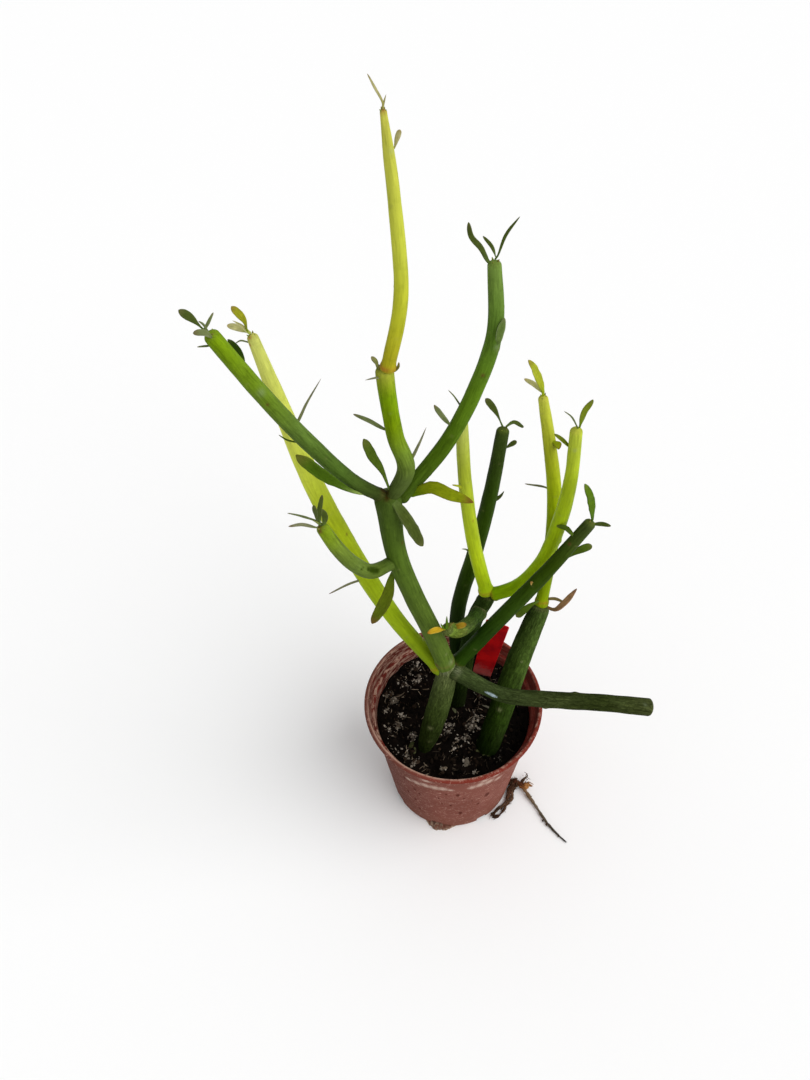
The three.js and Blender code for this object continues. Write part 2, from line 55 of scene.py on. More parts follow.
# path: points on the stem's middle line from its foot to its tip. wide: its diameter at even steps.
# on: what it stands on. skin: the finish. tones: its colours at even steps, as on a screen, with painted shade that
# darkens the old stems' feet down among the trunks, and painted light that lifts stretches lying in other stems'
# shade.
# side_light: painted light and shade, how much paler its right side is than its left, if not as usual for its finish.
# swell: how much it widens where it comes out of what it stands on, 0.2 if not given.
# collar: how strongly the worn ring there is coloured, 1 if not given.
STEMS = {
    "front_trunk": {
        "on": [], "skin": "bark",
        "path": [(-18, -18, 38), (-14.8, -18.5, 67.5), (-8.6, -15.5, 99), (-4.2, -12.2, 130), (-4.6, -12, 135.5)],
        "wide": [8, 7.2, 6.8, 9.2, 10.6, 10.9, 10.7, 9.9, 8.6],
        "tones": [(16, 22, 8), (30, 38, 14), (38, 50, 17), (40, 51, 18), (54, 67, 27), (74, 86, 44), (98, 106, 66)],
    },
    "main_stem": {
        "on": ["front_trunk"], "skin": "green", "swell": 0.06,
        "path": [(-3.4, -12.1, 127), (-11, -11, 158), (-19, -7.5, 182), (-25.5, -4, 207), (-28, 2, 237)],
        "wide": [8.6, 8.7, 8.7, 8.6, 8.6, 8.7, 9.4, 11.8],
        "tones": [(82, 105, 36), (80, 100, 36), (76, 97, 33), (72, 95, 28), (62, 80, 28)],
    },
    "centre_stem": {
        "on": ["main_stem"], "skin": "green", "swell": 0.0, "collar": 0.0,
        "path": [(-27.4, 0.05, 233.7), (-20.5, 3, 247.5), (-24, 5.5, 263), (-26, 8, 278.5), (-27, 8.5, 294)],
        "wide": [3.6, 6.3, 6.9, 6.6, 6.3, 6.3, 6.3, 6.5, 6.8],
        "tones": [(60, 72, 30), (76, 92, 41), (104, 128, 40), (112, 138, 8), (116, 148, 8), (152, 154, 56)],
    },
    "yellow_top_shoot": {
        "on": ["centre_stem"], "skin": "yellow", "collar": 1.25,
        "path": [(-26, 8, 292), (-20.5, 11, 320.5), (-21.5, 17, 350.5), (-24, 21, 379.2)],
        "wide": [5, 5, 4.6, 4.1, 2.1],
        "tones": [(160, 152, 26), (169, 172, 40), (184, 190, 62), (182, 186, 68), (184, 183, 74)],
    },
    "right_green_shoot": {
        "on": ["main_stem", "centre_stem"], "skin": "green", "swell": 0.06, "collar": 0.15,
        "path": [(-24, 2, 231), (-5, 13.5, 250), (6, 20.5, 270.5), (12.5, 25, 294), (11.5, 30, 320.5)],
        "wide": [5.6, 6.2, 6.1, 5.9, 4.9],
        "tones": [(60, 80, 21), (70, 97, 16), (88, 120, 25), (78, 107, 34), (108, 134, 60)],
    },
    "left_green_shoot": {
        "on": ["main_stem", "centre_stem"], "skin": "green", "swell": 0.1, "collar": 0.4,
        "path": [(-28.5, 1.5, 233.5), (-41, -0.5, 246.5), (-55.5, -0.5, 267.5), (-69, -1, 292), (-81.5, -4, 321)],
        "wide": [5, 5.9, 6.3, 6.1, 5.4],
        "tones": [(48, 58, 22), (70, 95, 32), (88, 113, 44), (104, 132, 26), (106, 134, 10)],
    },
    "hooked_side_shoot": {
        "on": ["main_stem"], "skin": "green", "swell": 0.1, "collar": 0.2,
        "path": [(-26.5, -5, 201.5), (-35.3, -14.5, 208.2), (-41.5, -18.5, 218.1), (-47, -21.5, 232),
                 (-52, -22, 246)],
        "wide": [4.8, 6, 6, 5.6, 4.8],
        "tones": [(72, 94, 34), (84, 102, 36), (92, 112, 44), (102, 122, 42), (116, 140, 20)],
    },
    "long_yellow_shoot": {
        "on": ["front_trunk", "main_stem"], "skin": "yellow",
        "path": [(-5.5, -12.5, 126.5), (-27, -0.5, 154.5), (-45, 12.5, 187), (-58, 21, 220.5),
                 (-66.5, 26.5, 254.5), (-75, 32.5, 290.5)],
        "wide": [6.2, 8, 8.9, 7.7, 4.3],
        "tones": [(104, 126, 10), (156, 180, 26), (160, 176, 28), (212, 220, 88), (182, 186, 96)],
    },
    "low_bare_arm": {
        "on": ["front_trunk", "main_stem"], "skin": "bark", "swell": 0.04, "collar": 0.3,
        "path": [(-3, -12.6, 131), (19.5, -23, 124.2), (40.5, -26, 123.1), (64, -28, 122.2), (89, -29, 117.8)],
        "wide": [8.2, 7.1, 7.6, 7.8, 8.1],
        "tones": [(60, 72, 38), (52, 64, 32), (52, 60, 30), (45, 54, 20), (64, 70, 38)],
    },
    "slanting_shoot": {
        "on": ["front_trunk", "main_stem", "low_bare_arm"], "skin": "green",
        "path": [(-2, -11, 128.5), (18.5, -6, 159), (37, -2, 187), (54, 3, 214)],
        "wide": [6.4, 7, 6.8, 6, 5],
        "tones": [(42, 68, 10), (31, 54, 8), (44, 66, 12), (46, 66, 8), (60, 72, 34)],
    },
    "middle_trunk": {
        "on": [], "skin": "bark",
        "path": [(0, 4, 38), (2.5, 6, 67), (5, 7, 95), (7.5, 8, 122), (9.5, 9, 138), (15.8, 10.5, 157)],
        "wide": [7.2, 8.2, 8.2, 7.8, 7.6],
        "tones": [(14, 18, 6), (24, 34, 10), (34, 50, 14), (32, 52, 14), (56, 74, 28)],
    },
    "middle_stub": {
        "on": ["middle_trunk"], "skin": "bark",
        "path": [(12, 8, 146), (5.5, -4, 153.5), (0, -13.5, 163), (-5.5, -20.5, 174.5)],
        "wide": [6.2, 6.7, 6.7, 6.5, 5.6],
        "tones": [(50, 70, 26), (58, 82, 30), (74, 92, 38), (90, 102, 38), (98, 122, 40)],
    },
    "dark_back_shoot": {
        "on": ["middle_trunk"], "skin": "green", "side_light": 0.3,
        "path": [(5, 7.5, 93), (2, 14.5, 110), (3, 21, 133), (10.5, 28, 167), (16, 32.5, 199.5), (20, 37, 234.5)],
        "wide": [6.6, 7.2, 7.2, 6.5, 5.4],
        "tones": [(10, 24, 2), (30, 47, 14), (50, 74, 10), (46, 68, 13), (54, 68, 28)],
    },
    "curved_yellow_shoot": {
        "on": ["middle_trunk"], "skin": "yellow",
        "path": [(16.4, 9.8, 156), (27.5, 8.5, 163.8), (37, 8, 181.5), (42, 8.5, 206.5),
                 (43.5, 6.5, 235), (42.5, 6, 263.5)],
        "wide": [6.2, 6.4, 6.4, 5.4, 4.8],
        "tones": [(118, 154, 4), (160, 192, 14), (150, 176, 16), (148, 168, 26), (172, 186, 58)],
    },
    "upright_yellow_shoot": {
        "on": ["middle_trunk", "curved_yellow_shoot"], "skin": "yellow",
        "path": [(14.8, 11, 155), (8, 14.5, 187), (3.5, 19, 222.5), (1.5, 22, 256)],
        "wide": [6.2, 6.2, 5.8, 5.5, 4.6],
        "tones": [(178, 210, 20), (186, 208, 30), (164, 182, 38), (164, 177, 50), (188, 196, 100)],
    },
    "right_trunk": {
        "on": [], "skin": "bark", "side_light": 0.6,
        "path": [(12, -20, 36), (16.5, -19, 66), (22.5, -14, 96), (30, -4, 124), (39, 6, 152.5)],
        "wide": [9.5, 11.8, 11.6, 11, 8.9],
        "tones": [(14, 18, 8), (26, 42, 9), (36, 54, 12), (62, 82, 30), (60, 78, 32)],
    },
    "right_yellow_shoot": {
        "on": ["right_trunk"], "skin": "yellow",
        "path": [(39, 6, 150.5), (42, 16.5, 182.5), (41.5, 22, 208.5), (37.5, 25, 235.5), (32.5, 26, 261.5)],
        "wide": [5.4, 6, 6.1, 5.3, 3.9],
        "tones": [(134, 158, 6), (92, 112, 4), (150, 170, 10), (160, 168, 36), (180, 185, 64)],
    },
}
# Each leaf: outline, tone, width, and points on its midrib from root to tip.
LEAVES = {
    "left_green_shoot": [
        ("paddle", "dark", 2.7, [(-83, -4, 322.5), (-85.5, -6, 328.5), (-88.2, -8, 333.2)]),
        ("paddle", "grey", 2.3, [(-80, -3.5, 317.5), (-82, -8.5, 324.5), (-85, -9.5, 325.5)]),
        ("thread", "grey", 1.2, [(-82.5, -4, 322), (-81, -3, 324.5), (-79.5, -1, 326.5)]),
        ("thread", "grey", 0.8, [(-81.5, -3.5, 315.5), (-84, -4.5, 316), (-85.5, -6.5, 317.5)]),
        ("thread", "grey", 0.8, [(-82, -4, 322.5), (-82.7, -4, 324.4), (-83.6, -5, 326.4)]),
        ("oval", "shade", 2.4, [(-73, -2, 305.5), (-74.5, 1, 309), (-77, 1, 314)]),
        ("thread", "green", 0.7, [(-58, -0.5, 267.5), (-62, -1.5, 269.5), (-65, -3.5, 274.5)]),
    ],
    "long_yellow_shoot": [
        ("paddle", "gold", 2.8, [(-76, 32.5, 291), (-76.5, 31.5, 297.5), (-79.5, 29.5, 305)]),
        ("oval", "pale", 2.7, [(-75.5, 32.5, 291), (-80, 34.5, 292), (-84, 36.5, 291.5)]),
        ("spike", "pale", 1.4, [(-76, 32.5, 291.5), (-78, 32.5, 294.5), (-81, 33.5, 296)]),
        ("thread", "grey", 0.7, [(-76, 32, 287), (-79, 32, 288), (-81.5, 33, 286)]),
        ("spike", "silver", 1.2, [(-63, 25.5, 251), (-57.5, 28.5, 260), (-51.5, 31.5, 269)]),
        ("thread", "silver", 1.1, [(-35.5, 7.5, 175.5), (-45.5, 4.5, 175.5), (-55.5, 1.5, 172)]),
    ],
    "main_stem": [
        ("paddle", "broad", 4.7, [(-29.5, 2, 237), (-37.5, -2, 240.5), (-46.5, -7, 252.5), (-58.5, -13, 274)]),
        ("strap", "dark", 4.9, [(-25.6, -2, 235.4), (-20.6, -5.6, 228), (-15, -9, 216.5)]),
        ("oval", "olivedark", 5.2, [(-26.5, -5.5, 196), (-30, -9.5, 183.5), (-37, -11.5, 167.5)]),
    ],
    "right_green_shoot": [
        ("lance", "olive", 5.2, [(-19.5, 4, 232.5), (-10.5, 1, 239.5), (-4, -1, 237.5), (5, -2, 233.5)]),
        ("strap", "dark", 2.0, [(10, 30, 319.5), (6.5, 28, 327), (3.2, 27, 332), (2, 26, 338)]),
        ("oval", "dark", 1.3, [(12, 30, 321.5), (10.6, 31, 325), (7.6, 33, 328)]),
        ("lance", "dark", 1.2, [(12.5, 30, 322), (15, 31, 329.4), (19.5, 33, 335)]),
        ("oval", "halo", 2.9, [(13.2, 22.6, 290.4), (14.2, 21.6, 297), (15.5, 23.4, 301.2)]),
        ("oval", "grey", 2.1, [(-3, 16, 257.5), (-7, 15, 264.5), (-9.5, 13, 271)]),
    ],
    "centre_stem": [
        ("paddle", "green", 3.8, [(-26.5, 1, 236), (-29.5, 1, 249.5), (-33, 1, 258), (-35.5, 1, 266.5)]),
        ("oval", "grey", 1.7, [(-26.5, 6, 265.5), (-33.5, 8, 269), (-39, 10, 270.5)]),
        ("spike", "silver", 1.3, [(-19, 3.5, 252), (-15.5, 7.5, 256), (-12.5, 11.5, 261)]),
        ("paddle", "frost", 1.7, [(-29, 8.5, 292), (-29.5, 7.5, 296.5), (-31, 5.5, 301)]),
        ("spike", "silver", 1.1, [(-26.5, 8.5, 289), (-30, 5.5, 291.5), (-33.5, 3.5, 292.5)]),
        ("oval", "bud", 1.1, [(-24, 8.5, 291.5), (-22.2, 8.5, 293.4), (-21.8, 8.5, 295.6)]),
    ],
    "yellow_top_shoot": [
        ("lance", "straw", 1.0, [(-24, 21, 379), (-24.1, 20.6, 381.4), (-26, 18.8, 386.5), (-28, 17, 391.5)]),
        ("spike", "straw", 0.7, [(-24, 21, 380), (-23.6, 21.3, 381.4), (-23, 22, 383)]),
        ("paddle", "straw", 1.8, [(-21.5, 19.5, 367.5), (-20.3, 21.5, 369.5), (-19.3, 23.5, 371.5)]),
    ],
    "hooked_side_shoot": [
        ("strap", "dark", 1.8, [(-52.5, -22, 246.5), (-52, -21, 253), (-50.5, -19, 259.5)]),
        ("paddle", "dark", 1.9, [(-53, -22, 247.5), (-53, -24, 255.5), (-53, -25, 261)]),
        ("thread", "grey", 0.9, [(-52.5, -22, 248), (-59, -20, 249.5), (-64, -18, 249)]),
        ("oval", "silver", 1.4, [(-53, -22, 245), (-58.5, -24, 249.5), (-63, -26, 251)]),
        ("spike", "frost", 0.9, [(-52.5, -22, 247), (-53.5, -23, 249.5), (-54.5, -24, 251.5)]),
        ("oval", "dark", 2.2, [(-51, -22, 247), (-50.5, -19, 247.5), (-51.5, -17, 249.5)]),
    ],
    "upright_yellow_shoot": [
        ("thread", "grey", 0.7, [(2, 22, 258), (-1.5, 20, 268), (-4, 19, 272.5)]),
        ("thread", "lime", 1.2, [(3, 18.5, 216), (1.5, 16.5, 222), (-2, 15.5, 224.5)]),
        ("thread", "grey", 0.8, [(6, 14, 183.5), (4, 12, 187), (2.5, 11, 188.5)]),
    ],
    "dark_back_shoot": [
        ("paddle", "dark", 2.9, [(19.5, 37, 235.5), (16.5, 39, 242), (12.5, 40, 248)]),
        ("strap", "dark", 1.7, [(21, 37, 235), (24, 39, 235.5), (29, 42, 229.5)]),
        ("paddle", "dark", 2.1, [(21, 35.5, 224), (23.5, 36.5, 225), (26, 37.5, 226)]),
        ("spike", "dark", 1.9, [(18, 32, 196), (20.5, 33, 197), (22, 34, 199)]),
    ],
    "right_yellow_shoot": [
        ("oval", "lime", 3.5, [(32.5, 26, 263), (29.5, 25, 272.5), (25.5, 23, 282)]),
        ("oval", "pale", 2.1, [(32.5, 26, 263), (29.5, 28, 265.5), (25.5, 30, 267)]),
        ("paddle", "olive", 3.2, [(37.5, 24, 239.5), (39, 23, 238.8), (41.2, 23, 236.6)]),
        ("thread", "silver", 1.0, [(40, 22.5, 211), (38, 24.5, 211), (29.5, 27.5, 210.5)]),
    ],
    "curved_yellow_shoot": [
        ("thread", "grey", 0.7, [(43, 6, 263.5), (40.5, 8, 267.5), (38, 10, 268.5)]),
        ("oval", "leafy", 2.5, [(43.5, 6, 264), (44, 5, 272.5), (46, 3, 280.5)]),
        ("oval", "leafy", 1.7, [(42, 6, 252.5), (38.5, 8, 255.5), (35.5, 10, 257)]),
    ],
    "slanting_shoot": [
        ("oval", "fresh", 3.5, [(54, 3, 214.5), (51.5, 1, 228), (47.5, -1, 240.5)]),
        ("oval", "dark", 1.9, [(54.5, 3, 212), (58, 2, 213), (61, 0, 214)]),
        ("oval", "green", 2.1, [(47, 1.5, 207), (44, 3.5, 209.5), (40.5, 5.5, 208.5)]),
        ("paddle", "green", 3.5, [(44, -0.5, 194), (49.5, 1.5, 196), (56, 3.5, 197.5)]),
        ("oval", "tan", 1.9, [(34, -3, 178), (32, -4, 181.5), (30.5, -5, 185)]),
    ],
    "right_trunk": [
        ("paddle", "green", 3.5, [(38.5, 6, 155.5), (33.5, 4, 155), (27.5, 2, 149.5)]),
        ("lance", "dried", 2.8, [(40.5, 6, 151.5), (45, 5, 149.5), (48.5, 4, 155.5), (53, 3, 168)]),
        ("thread", "brown", 1.6, [(39.5, 6, 156), (44.5, 7, 155.5), (49, 8, 151.5), (51.5, 8, 149.5)]),
    ],
    "middle_stub": [
        ("oval", "yellow", 2.5, [(-7, -20.5, 174.5), (-10.5, -22.2, 176.6), (-13.6, -24, 177.2)]),
        ("oval", "ochre", 2.5, [(-3, -17.5, 170.5), (-0.3, -17.5, 172), (3.2, -16.3, 171.6)]),
        ("spike", "fresh", 1.5, [(-5.5, -20.5, 176), (-5.5, -20.5, 180), (-5.5, -20.5, 184)]),
        ("spike", "fresh", 1.1, [(-6.5, -20.5, 175.5), (-7.6, -21, 178), (-8, -21.5, 180.3)]),
        ("spike", "bud", 1.1, [(-4.5, -20, 175.5), (-3.4, -20, 177.6), (-2.4, -20.5, 179.2)]),
    ],
}
# Soft stems whose tips carry no ring of small buds.
BUDLESS = ("main_stem", "curved_yellow_shoot")
# Marks on the skins: kind, place, radius.
SPOTS = {
    "front_trunk": [
        ("scar", (-12.6, -21.8, 91), 1.1), ("knob", (-12.7, -23.6, 79.7), 1.2), ("scar", (-14.8, -24.2, 71), 0.8),
        ("husk", (0, -15.6, 134), 1.6), ("husk", (-5.5, -16.6, 133), 1.4)],
    "main_stem": [
        ("fleck", (-22.6, -5.2, 214.1), 0.5), ("scar", (-4.7, -15.3, 146.4), 0.6), ("husk", (-2, -15, 139.6), 1.4),
        ("fleck", (-9.4, -15, 137.6), 0.7), ("notch", (-28.2, 0.4, 237.1), 1.7), ("notch", (-27.9, -1, 236.9), 1.1),
        ("notch", (-28.3, -1.9, 236.6), 0.7)],
    "centre_stem": [("notch", (-27.6, 0.2, 238), 1.1)],
    "long_yellow_shoot": [
        ("fleck", (-46.1, 12.9, 198.6), 0.5), ("ring", (-75.8, 30.3, 287.2), 0.5),
        ("ring", (-75.6, 31, 290.2), 0.6)],
    "left_green_shoot": [
        ("notch", (-29, 1.2, 238), 1.4), ("notch", (-29.7, 1.5, 238.6), 0.9), ("frost", (-68.3, -3.7, 294.8), 1.4),
        ("fleck", (-67, -3.9, 289.3), 0.5)],
    "right_green_shoot": [
        ("fleck", (8.5, 19.2, 278.8), 0.6), ("frost", (13.2, 21.5, 290), 0.9), ("knob", (13.9, 22, 288.4), 1.0)],
    "hooked_side_shoot": [
        ("shaded_hollow", (-32.8, -15.5, 209.8), 1.3), ("shaded_hollow", (-34.1, -16.5, 211.2), 1.45),
        ("shaded_hollow", (-35.2, -17.2, 212.7), 1.3), ("shaded_hollow", (-36.3, -18.1, 214.3), 0.9),
        ("shaded_hollow", (-38.9, -20.3, 217.1), 0.5), ("shaded_hollow", (-38.3, -19.6, 217.4), 0.35),
        ("fleck", (-52.5, -22.1, 245.8), 0.8), ("fleck", (-52.3, -23.8, 245), 0.7)],
    "curved_yellow_shoot": [
        ("ring", (38.4, 4.8, 185.4), 0.6), ("knob", (43.6, 7.2, 196.3), 1.0), ("frost", (42.6, 3.6, 254.3), 0.8)],
    "upright_yellow_shoot": [("ring", (7.1, 13.9, 203.4), 0.4)],
    "dark_back_shoot": [("fleck", (18.8, 35.1, 237.4), 0.5)],
    "slanting_shoot": [("fleck", (45.2, -0.8, 204.3), 0.6), ("scar", (54.6, 0.6, 215.2), 0.8)],
    "right_trunk": [("scar", (20.6, -18.3, 101), 1.0), ("scar", (30.4, -8.6, 127.8), 0.5)],
    "low_bare_arm": [
        ("husk", (0.2, -16.3, 133.8), 1.4), ("knob", (53.5, -23.8, 125), 1.2), ("knob", (39.6, -29.3, 121.2), 1.2),
        ("latex_glint", (12.6, -23.8, 127.4), 0.3), ("latex_glint", (13.4, -24.1, 127.2), 0.45),
        ("latex_glint", (14.2, -24.5, 127), 0.55), ("latex_glint", (15, -24.8, 126.8), 0.6),
        ("latex_glint", (15.8, -25.1, 126.5), 0.6), ("latex_glint", (16.6, -25.5, 126.3), 0.5),
        ("latex_glint", (17.4, -25.8, 126.1), 0.35), ("frost", (84.7, -30, 122.5), 0.7)],
    "middle_stub": [("fleck", (2.3, -10.8, 163.8), 0.6), ("fleck", (3.7, -14.2, 161.7), 0.5)],
    "yellow_top_shoot": [("frost", (-21.9, 18.3, 367.9), 0.9), ("ring", (-24, 21, 379.3), 1.0)],
    "middle_trunk": [("scar", (10.4, 12, 151.5), 1.0)],
    "right_yellow_shoot": [("frost", (30.6, 26.1, 260.7), 0.6)],
}
# kind: colour, share of it in the middle, height as a share of the radius.
SPOT_KINDS = {
    "scar": ((136, 140, 98), 0.6, 0.22), "knob": ((126, 132, 84), 0.5, 0.38), "husk": ((148, 154, 122), 0.42, 0.04),
    "fleck": ((95, 60, 35), 0.85, 0.0), "frost": ((140, 152, 122), 0.3, 0.02),
    # shaded_hollow: a dip coloured with painted shade
    "shaded_hollow": ((40, 58, 2), 0.95, -0.15), "notch": ((56, 42, 14), 0.9, -0.05), "ring": ((150, 80, 45), 0.8, 0.1),
    # latex_glint: a dried latex streak whose bluish white is partly a painted glint
    "latex_glint": ((196, 214, 232), 1.0, 0.3),
}

# Shares of a leaf's half width at places from its root to its tip.
LEAF_OUTLINES = {
    "paddle": [(0, 0.3), (0.18, 0.24), (0.36, 0.42), (0.55, 0.78), (0.72, 1), (0.86, 0.96), (0.95, 0.7), (1, 0.2)],
    "oval": [(0, 0.26), (0.14, 0.42), (0.32, 0.82), (0.52, 1), (0.72, 0.94), (0.88, 0.7), (0.96, 0.42), (1, 0.12)],
    "strap": [(0, 0.46), (0.12, 0.6), (0.3, 0.86), (0.52, 1), (0.72, 0.97), (0.88, 0.78), (0.96, 0.5), (1, 0.15)],
    "lance": [(0, 0.46), (0.15, 0.56), (0.34, 0.88), (0.52, 1), (0.72, 0.9), (0.88, 0.58), (0.97, 0.26), (1, 0.06)],
    "spike": [(0, 0.8), (0.2, 1), (0.45, 0.86), (0.7, 0.6), (0.88, 0.34), (1, 0.08)],
    "thread": [(0, 0.85), (0.25, 0.8), (0.5, 1), (0.75, 0.8), (0.92, 0.55), (1, 0.15)],
}
# A leaf's colours: root, blade, edge, tip.
LEAF_TONES = {
    "dark": ((84, 102, 48), (68, 80, 31), (92, 102, 60), (84, 88, 46)),
    "grey": ((100, 114, 62), (106, 116, 72), (132, 138, 104), (112, 106, 70)),
    "broad": ((150, 170, 92), (62, 88, 12), (80, 106, 30), (94, 98, 34)),
    "frost": ((104, 122, 56), (124, 126, 72), (106, 108, 60), (128, 124, 82)),
    "halo": ((98, 122, 58), (98, 120, 58), (134, 150, 104), (112, 122, 76)),
    "pale": ((164, 172, 84), (188, 184, 124), (202, 198, 158), (178, 162, 104)),
    "olive": ((96, 124, 14), (118, 130, 14), (120, 122, 28), (116, 84, 34)),
    "leafy": ((100, 124, 24), (116, 130, 30), (124, 130, 44), (110, 118, 46)),
    "gold": ((120, 140, 30), (148, 150, 34), (152, 148, 50), (140, 126, 46)),
    "olivedark": ((78, 98, 26), (84, 98, 18), (98, 104, 32), (102, 80, 38)),
    "lime": ((146, 162, 32), (158, 166, 40), (174, 178, 68), (146, 136, 50)),
    "fresh": ((80, 112, 28), (84, 114, 18), (60, 86, 18), (92, 112, 34)),
    "shade": ((60, 80, 20), (38, 58, 12), (48, 66, 22), (60, 72, 30)),
    "green": ((92, 114, 44), (72, 92, 24), (64, 84, 28), (88, 96, 40)),
    "straw": ((160, 156, 84), (160, 154, 108), (174, 168, 124), (144, 130, 84)),
    "silver": ((112, 124, 68), (116, 116, 88), (144, 142, 120), (110, 96, 72)),
    "dried": ((96, 78, 48), (154, 118, 84), (170, 132, 98), (130, 94, 68)),
    "brown": ((88, 92, 44), (98, 84, 48), (120, 102, 66), (84, 66, 40)),
    "yellow": ((156, 142, 36), (182, 146, 32), (192, 164, 66), (156, 108, 34)),
    "ochre": ((120, 112, 36), (140, 112, 28), (156, 128, 52), (128, 88, 36)),
    "tan": ((120, 130, 56), (176, 146, 74), (196, 168, 110), (150, 112, 60)),
    "bud": ((112, 120, 44), (116, 112, 52), (130, 122, 62), (132, 116, 58)),
    "tip": ((118, 134, 44), (122, 136, 50), (138, 146, 80), (136, 134, 70)),
}

# The root that grew out of a drain slot. Each strand: path, width at even steps, tones at even steps, depth of
# its knots, thin twins beside it, how far they stray as a share of its width.
ROOT_BROWN, ROOT_PALE = (62, 42, 32), (132, 112, 92)
TWIG_TONES = [ROOT_BROWN, (84, 70, 56)]
ROOT_STRANDS = [
    ([(31, -9.5, 1.6), (33.5, -8, 2.6), (36.5, -9.2, 2.8), (39.5, -11, 2.4)], [1.8, 3.2, 3.6, 2.4],
     [ROOT_BROWN, (64, 36, 26), (96, 56, 36)], 0.3, 5, 0.3),
    ([(38, -10.5, 2.2), (40, -11.8, 2.5), (42.8, -10.8, 2.6), (44.8, -11.6, 2.4)], [2.4, 3.4, 2.6, 1.2],
     [(128, 78, 42), (170, 118, 72), (150, 104, 66)], 0.3, 3, 0.3),
    ([(39.5, -12, 2.4), (43, -18.1, 1.6), (46.3, -24, 1.2), (49.5, -30.5, 1.1), (53.5, -36.3, 0.8), (60, -44, 0.5)],
     [2.2, 1.5, 1.3, 1.25, 0.95, 0.55], [(140, 108, 78), (112, 98, 82), (84, 75, 65), (46, 40, 36)], 0.3, 1, 0.15),
    ([(34.5, -9, 2.8), (32.4, -13, 2.4), (30.6, -17.4, 1.9), (28.2, -21.2, 1.5), (24.4, -24.4, 1.2),
      (20.9, -27.2, 1.0)],
     [2.6, 2.2, 1.7, 1.3, 1.0, 1.7], [ROOT_BROWN, (84, 56, 42), (98, 74, 58), (62, 42, 32)], 0.5, 5, 0.3),
    ([(36.5, -10.5, 2.6), (33.4, -13.6, 2.3), (33, -18, 1.8), (29.9, -20.8, 1.5), (28.4, -23.6, 1.2), (25, -27.4, 1),
      (21.2, -28.5, 0.9)],
     [2.0, 1.8, 1.7, 1.4, 1.2, 1.2, 1.5], [ROOT_BROWN, (110, 84, 66), (84, 58, 44), (58, 38, 30)], 0.5, 5, 0.3),
    ([(38.5, -9.5, 3.2), (41, -7.6, 4.0), (42.8, -6.2, 4.6)], [1.6, 1.2, 0.6],
     [ROOT_BROWN, (88, 66, 50), ROOT_PALE], 0.3, 1, 0.3),
    ([(49.2, -30.4, 1.2), (48.6, -31.3, 1.0), (48.8, -32.3, 1.0)], [1.0, 0.9, 0.4], TWIG_TONES, 0.3, 0, 0),
    ([(50.8, -32.6, 1.1), (50.3, -33.6, 0.9), (50.8, -34.5, 0.9)], [0.9, 0.8, 0.35], TWIG_TONES, 0.3, 0, 0),
    ([(42.4, -17.4, 1.7), (43.6, -17.6, 2.0), (44.2, -17, 2.4)], [1.0, 0.8, 0.3], TWIG_TONES, 0.3, 0, 0),
    ([(56.6, -39.4, 0.9), (55.9, -40.2, 0.8), (56.1, -41, 0.7)], [0.7, 0.6, 0.3], TWIG_TONES, 0.3, 0, 0),
]
# Places on the root that hairs grow from. Those on the first LONG_HAIRED are long, and the others are short.
HAIR_ROOTS = [(33.5, -9, 2.6), (37, -10, 2.8), (41.5, -10.5, 2.6), (34.5, -12, 2.2), (22, -27.8, 1.1),
              (30.5, -20, 1.3), (42, -7.2, 4.0), (27, -23.4, 1.3), (31.5, -14, 2.2), (35.6, -7.6, 3.0)]
LONG_HAIRED = 5

# The pot's section, radius and height, from the middle of its underside round the lip to the floor inside.
FOOT_RADIUS, SHOULDER_RADIUS, SHOULDER_HEIGHT, WALL = 32.3, 40.8, 69.5, 1.3
SOIL_LEVEL = 67.0


def wall_radius(z):
    """The outer radius of the pot's tapered wall at a height: a straight line from foot to shoulder."""
    return FOOT_RADIUS + (SHOULDER_RADIUS - FOOT_RADIUS) * z / SHOULDER_HEIGHT


POT_SECTION = [
    (0, 0), (12, 0), (13.4, 2.2), (25.9, 2.2), (27.3, 0), (31.5, 0), (wall_radius(0.8), 0.8),
    (SHOULDER_RADIUS, SHOULDER_HEIGHT), (41.2, 71), (43, 71.4), (43.9, 77.6), (44.8, 78), (45, 78.8), (44.5, 79.7),
    (43.7, 80), (42.9, 79.6), (42.6, 77.6), (41.7, 72.4), (39.9, 71.6), (SHOULDER_RADIUS - WALL, SHOULDER_HEIGHT),
    (wall_radius(2.3) - WALL, 2.3), (30.2, 1.3), (28.6, 1.3), (27.3, 3.5), (12, 3.5), (10.7, 1.3), (0, 1.3),
]

# ---------------------------------------------------------------- numbers and curves


def paint(colour):
    """A screen colour from 0 to 255 as light: ((c + 0.055) / 1.055) to the power 2.4, or c / 12.92 when dark."""
    c = np.asarray(colour, float) / 255
    return np.where(c > 0.04045, ((c + 0.055) / 1.055) ** 2.4, c / 12.92)


def blend(first, second, share):
    """first + (second - first) x share, colour by colour, with the share kept from 0 to 1."""
    return first + (second - first) * np.clip(share, 0, 1)[..., None]


def ease(low, high, x):
    """0 below low, 1 above high, and 3w^2 - 2w^3 between them."""
    w = np.clip((x - low) / (high - low), 0, 1)
    return w * w * (3 - 2 * w)


def unit(vectors):
    """Each vector divided by its length."""
    return vectors / np.linalg.norm(vectors, axis=-1, keepdims=True)


def corner_value(cell, seed):
    """A number from 0 to 1 for each whole-number place: its parts and the seed times large primes, with the
    bits mixed twice."""
    bits = cell[..., 0] * 374761393 + cell[..., 1] * 668265263 + cell[..., 2] * 362437 + seed * 1274126177
    bits = ((bits & 0xFFFFFFFF) ^ ((bits & 0xFFFFFFFF) >> 13)) * 1103515245 & 0xFFFFFFFF
    bits = (bits ^ (bits >> 16)) * 69069 & 0xFFFFFFFF
    return (bits ^ (bits >> 15)) / 0xFFFFFFFF


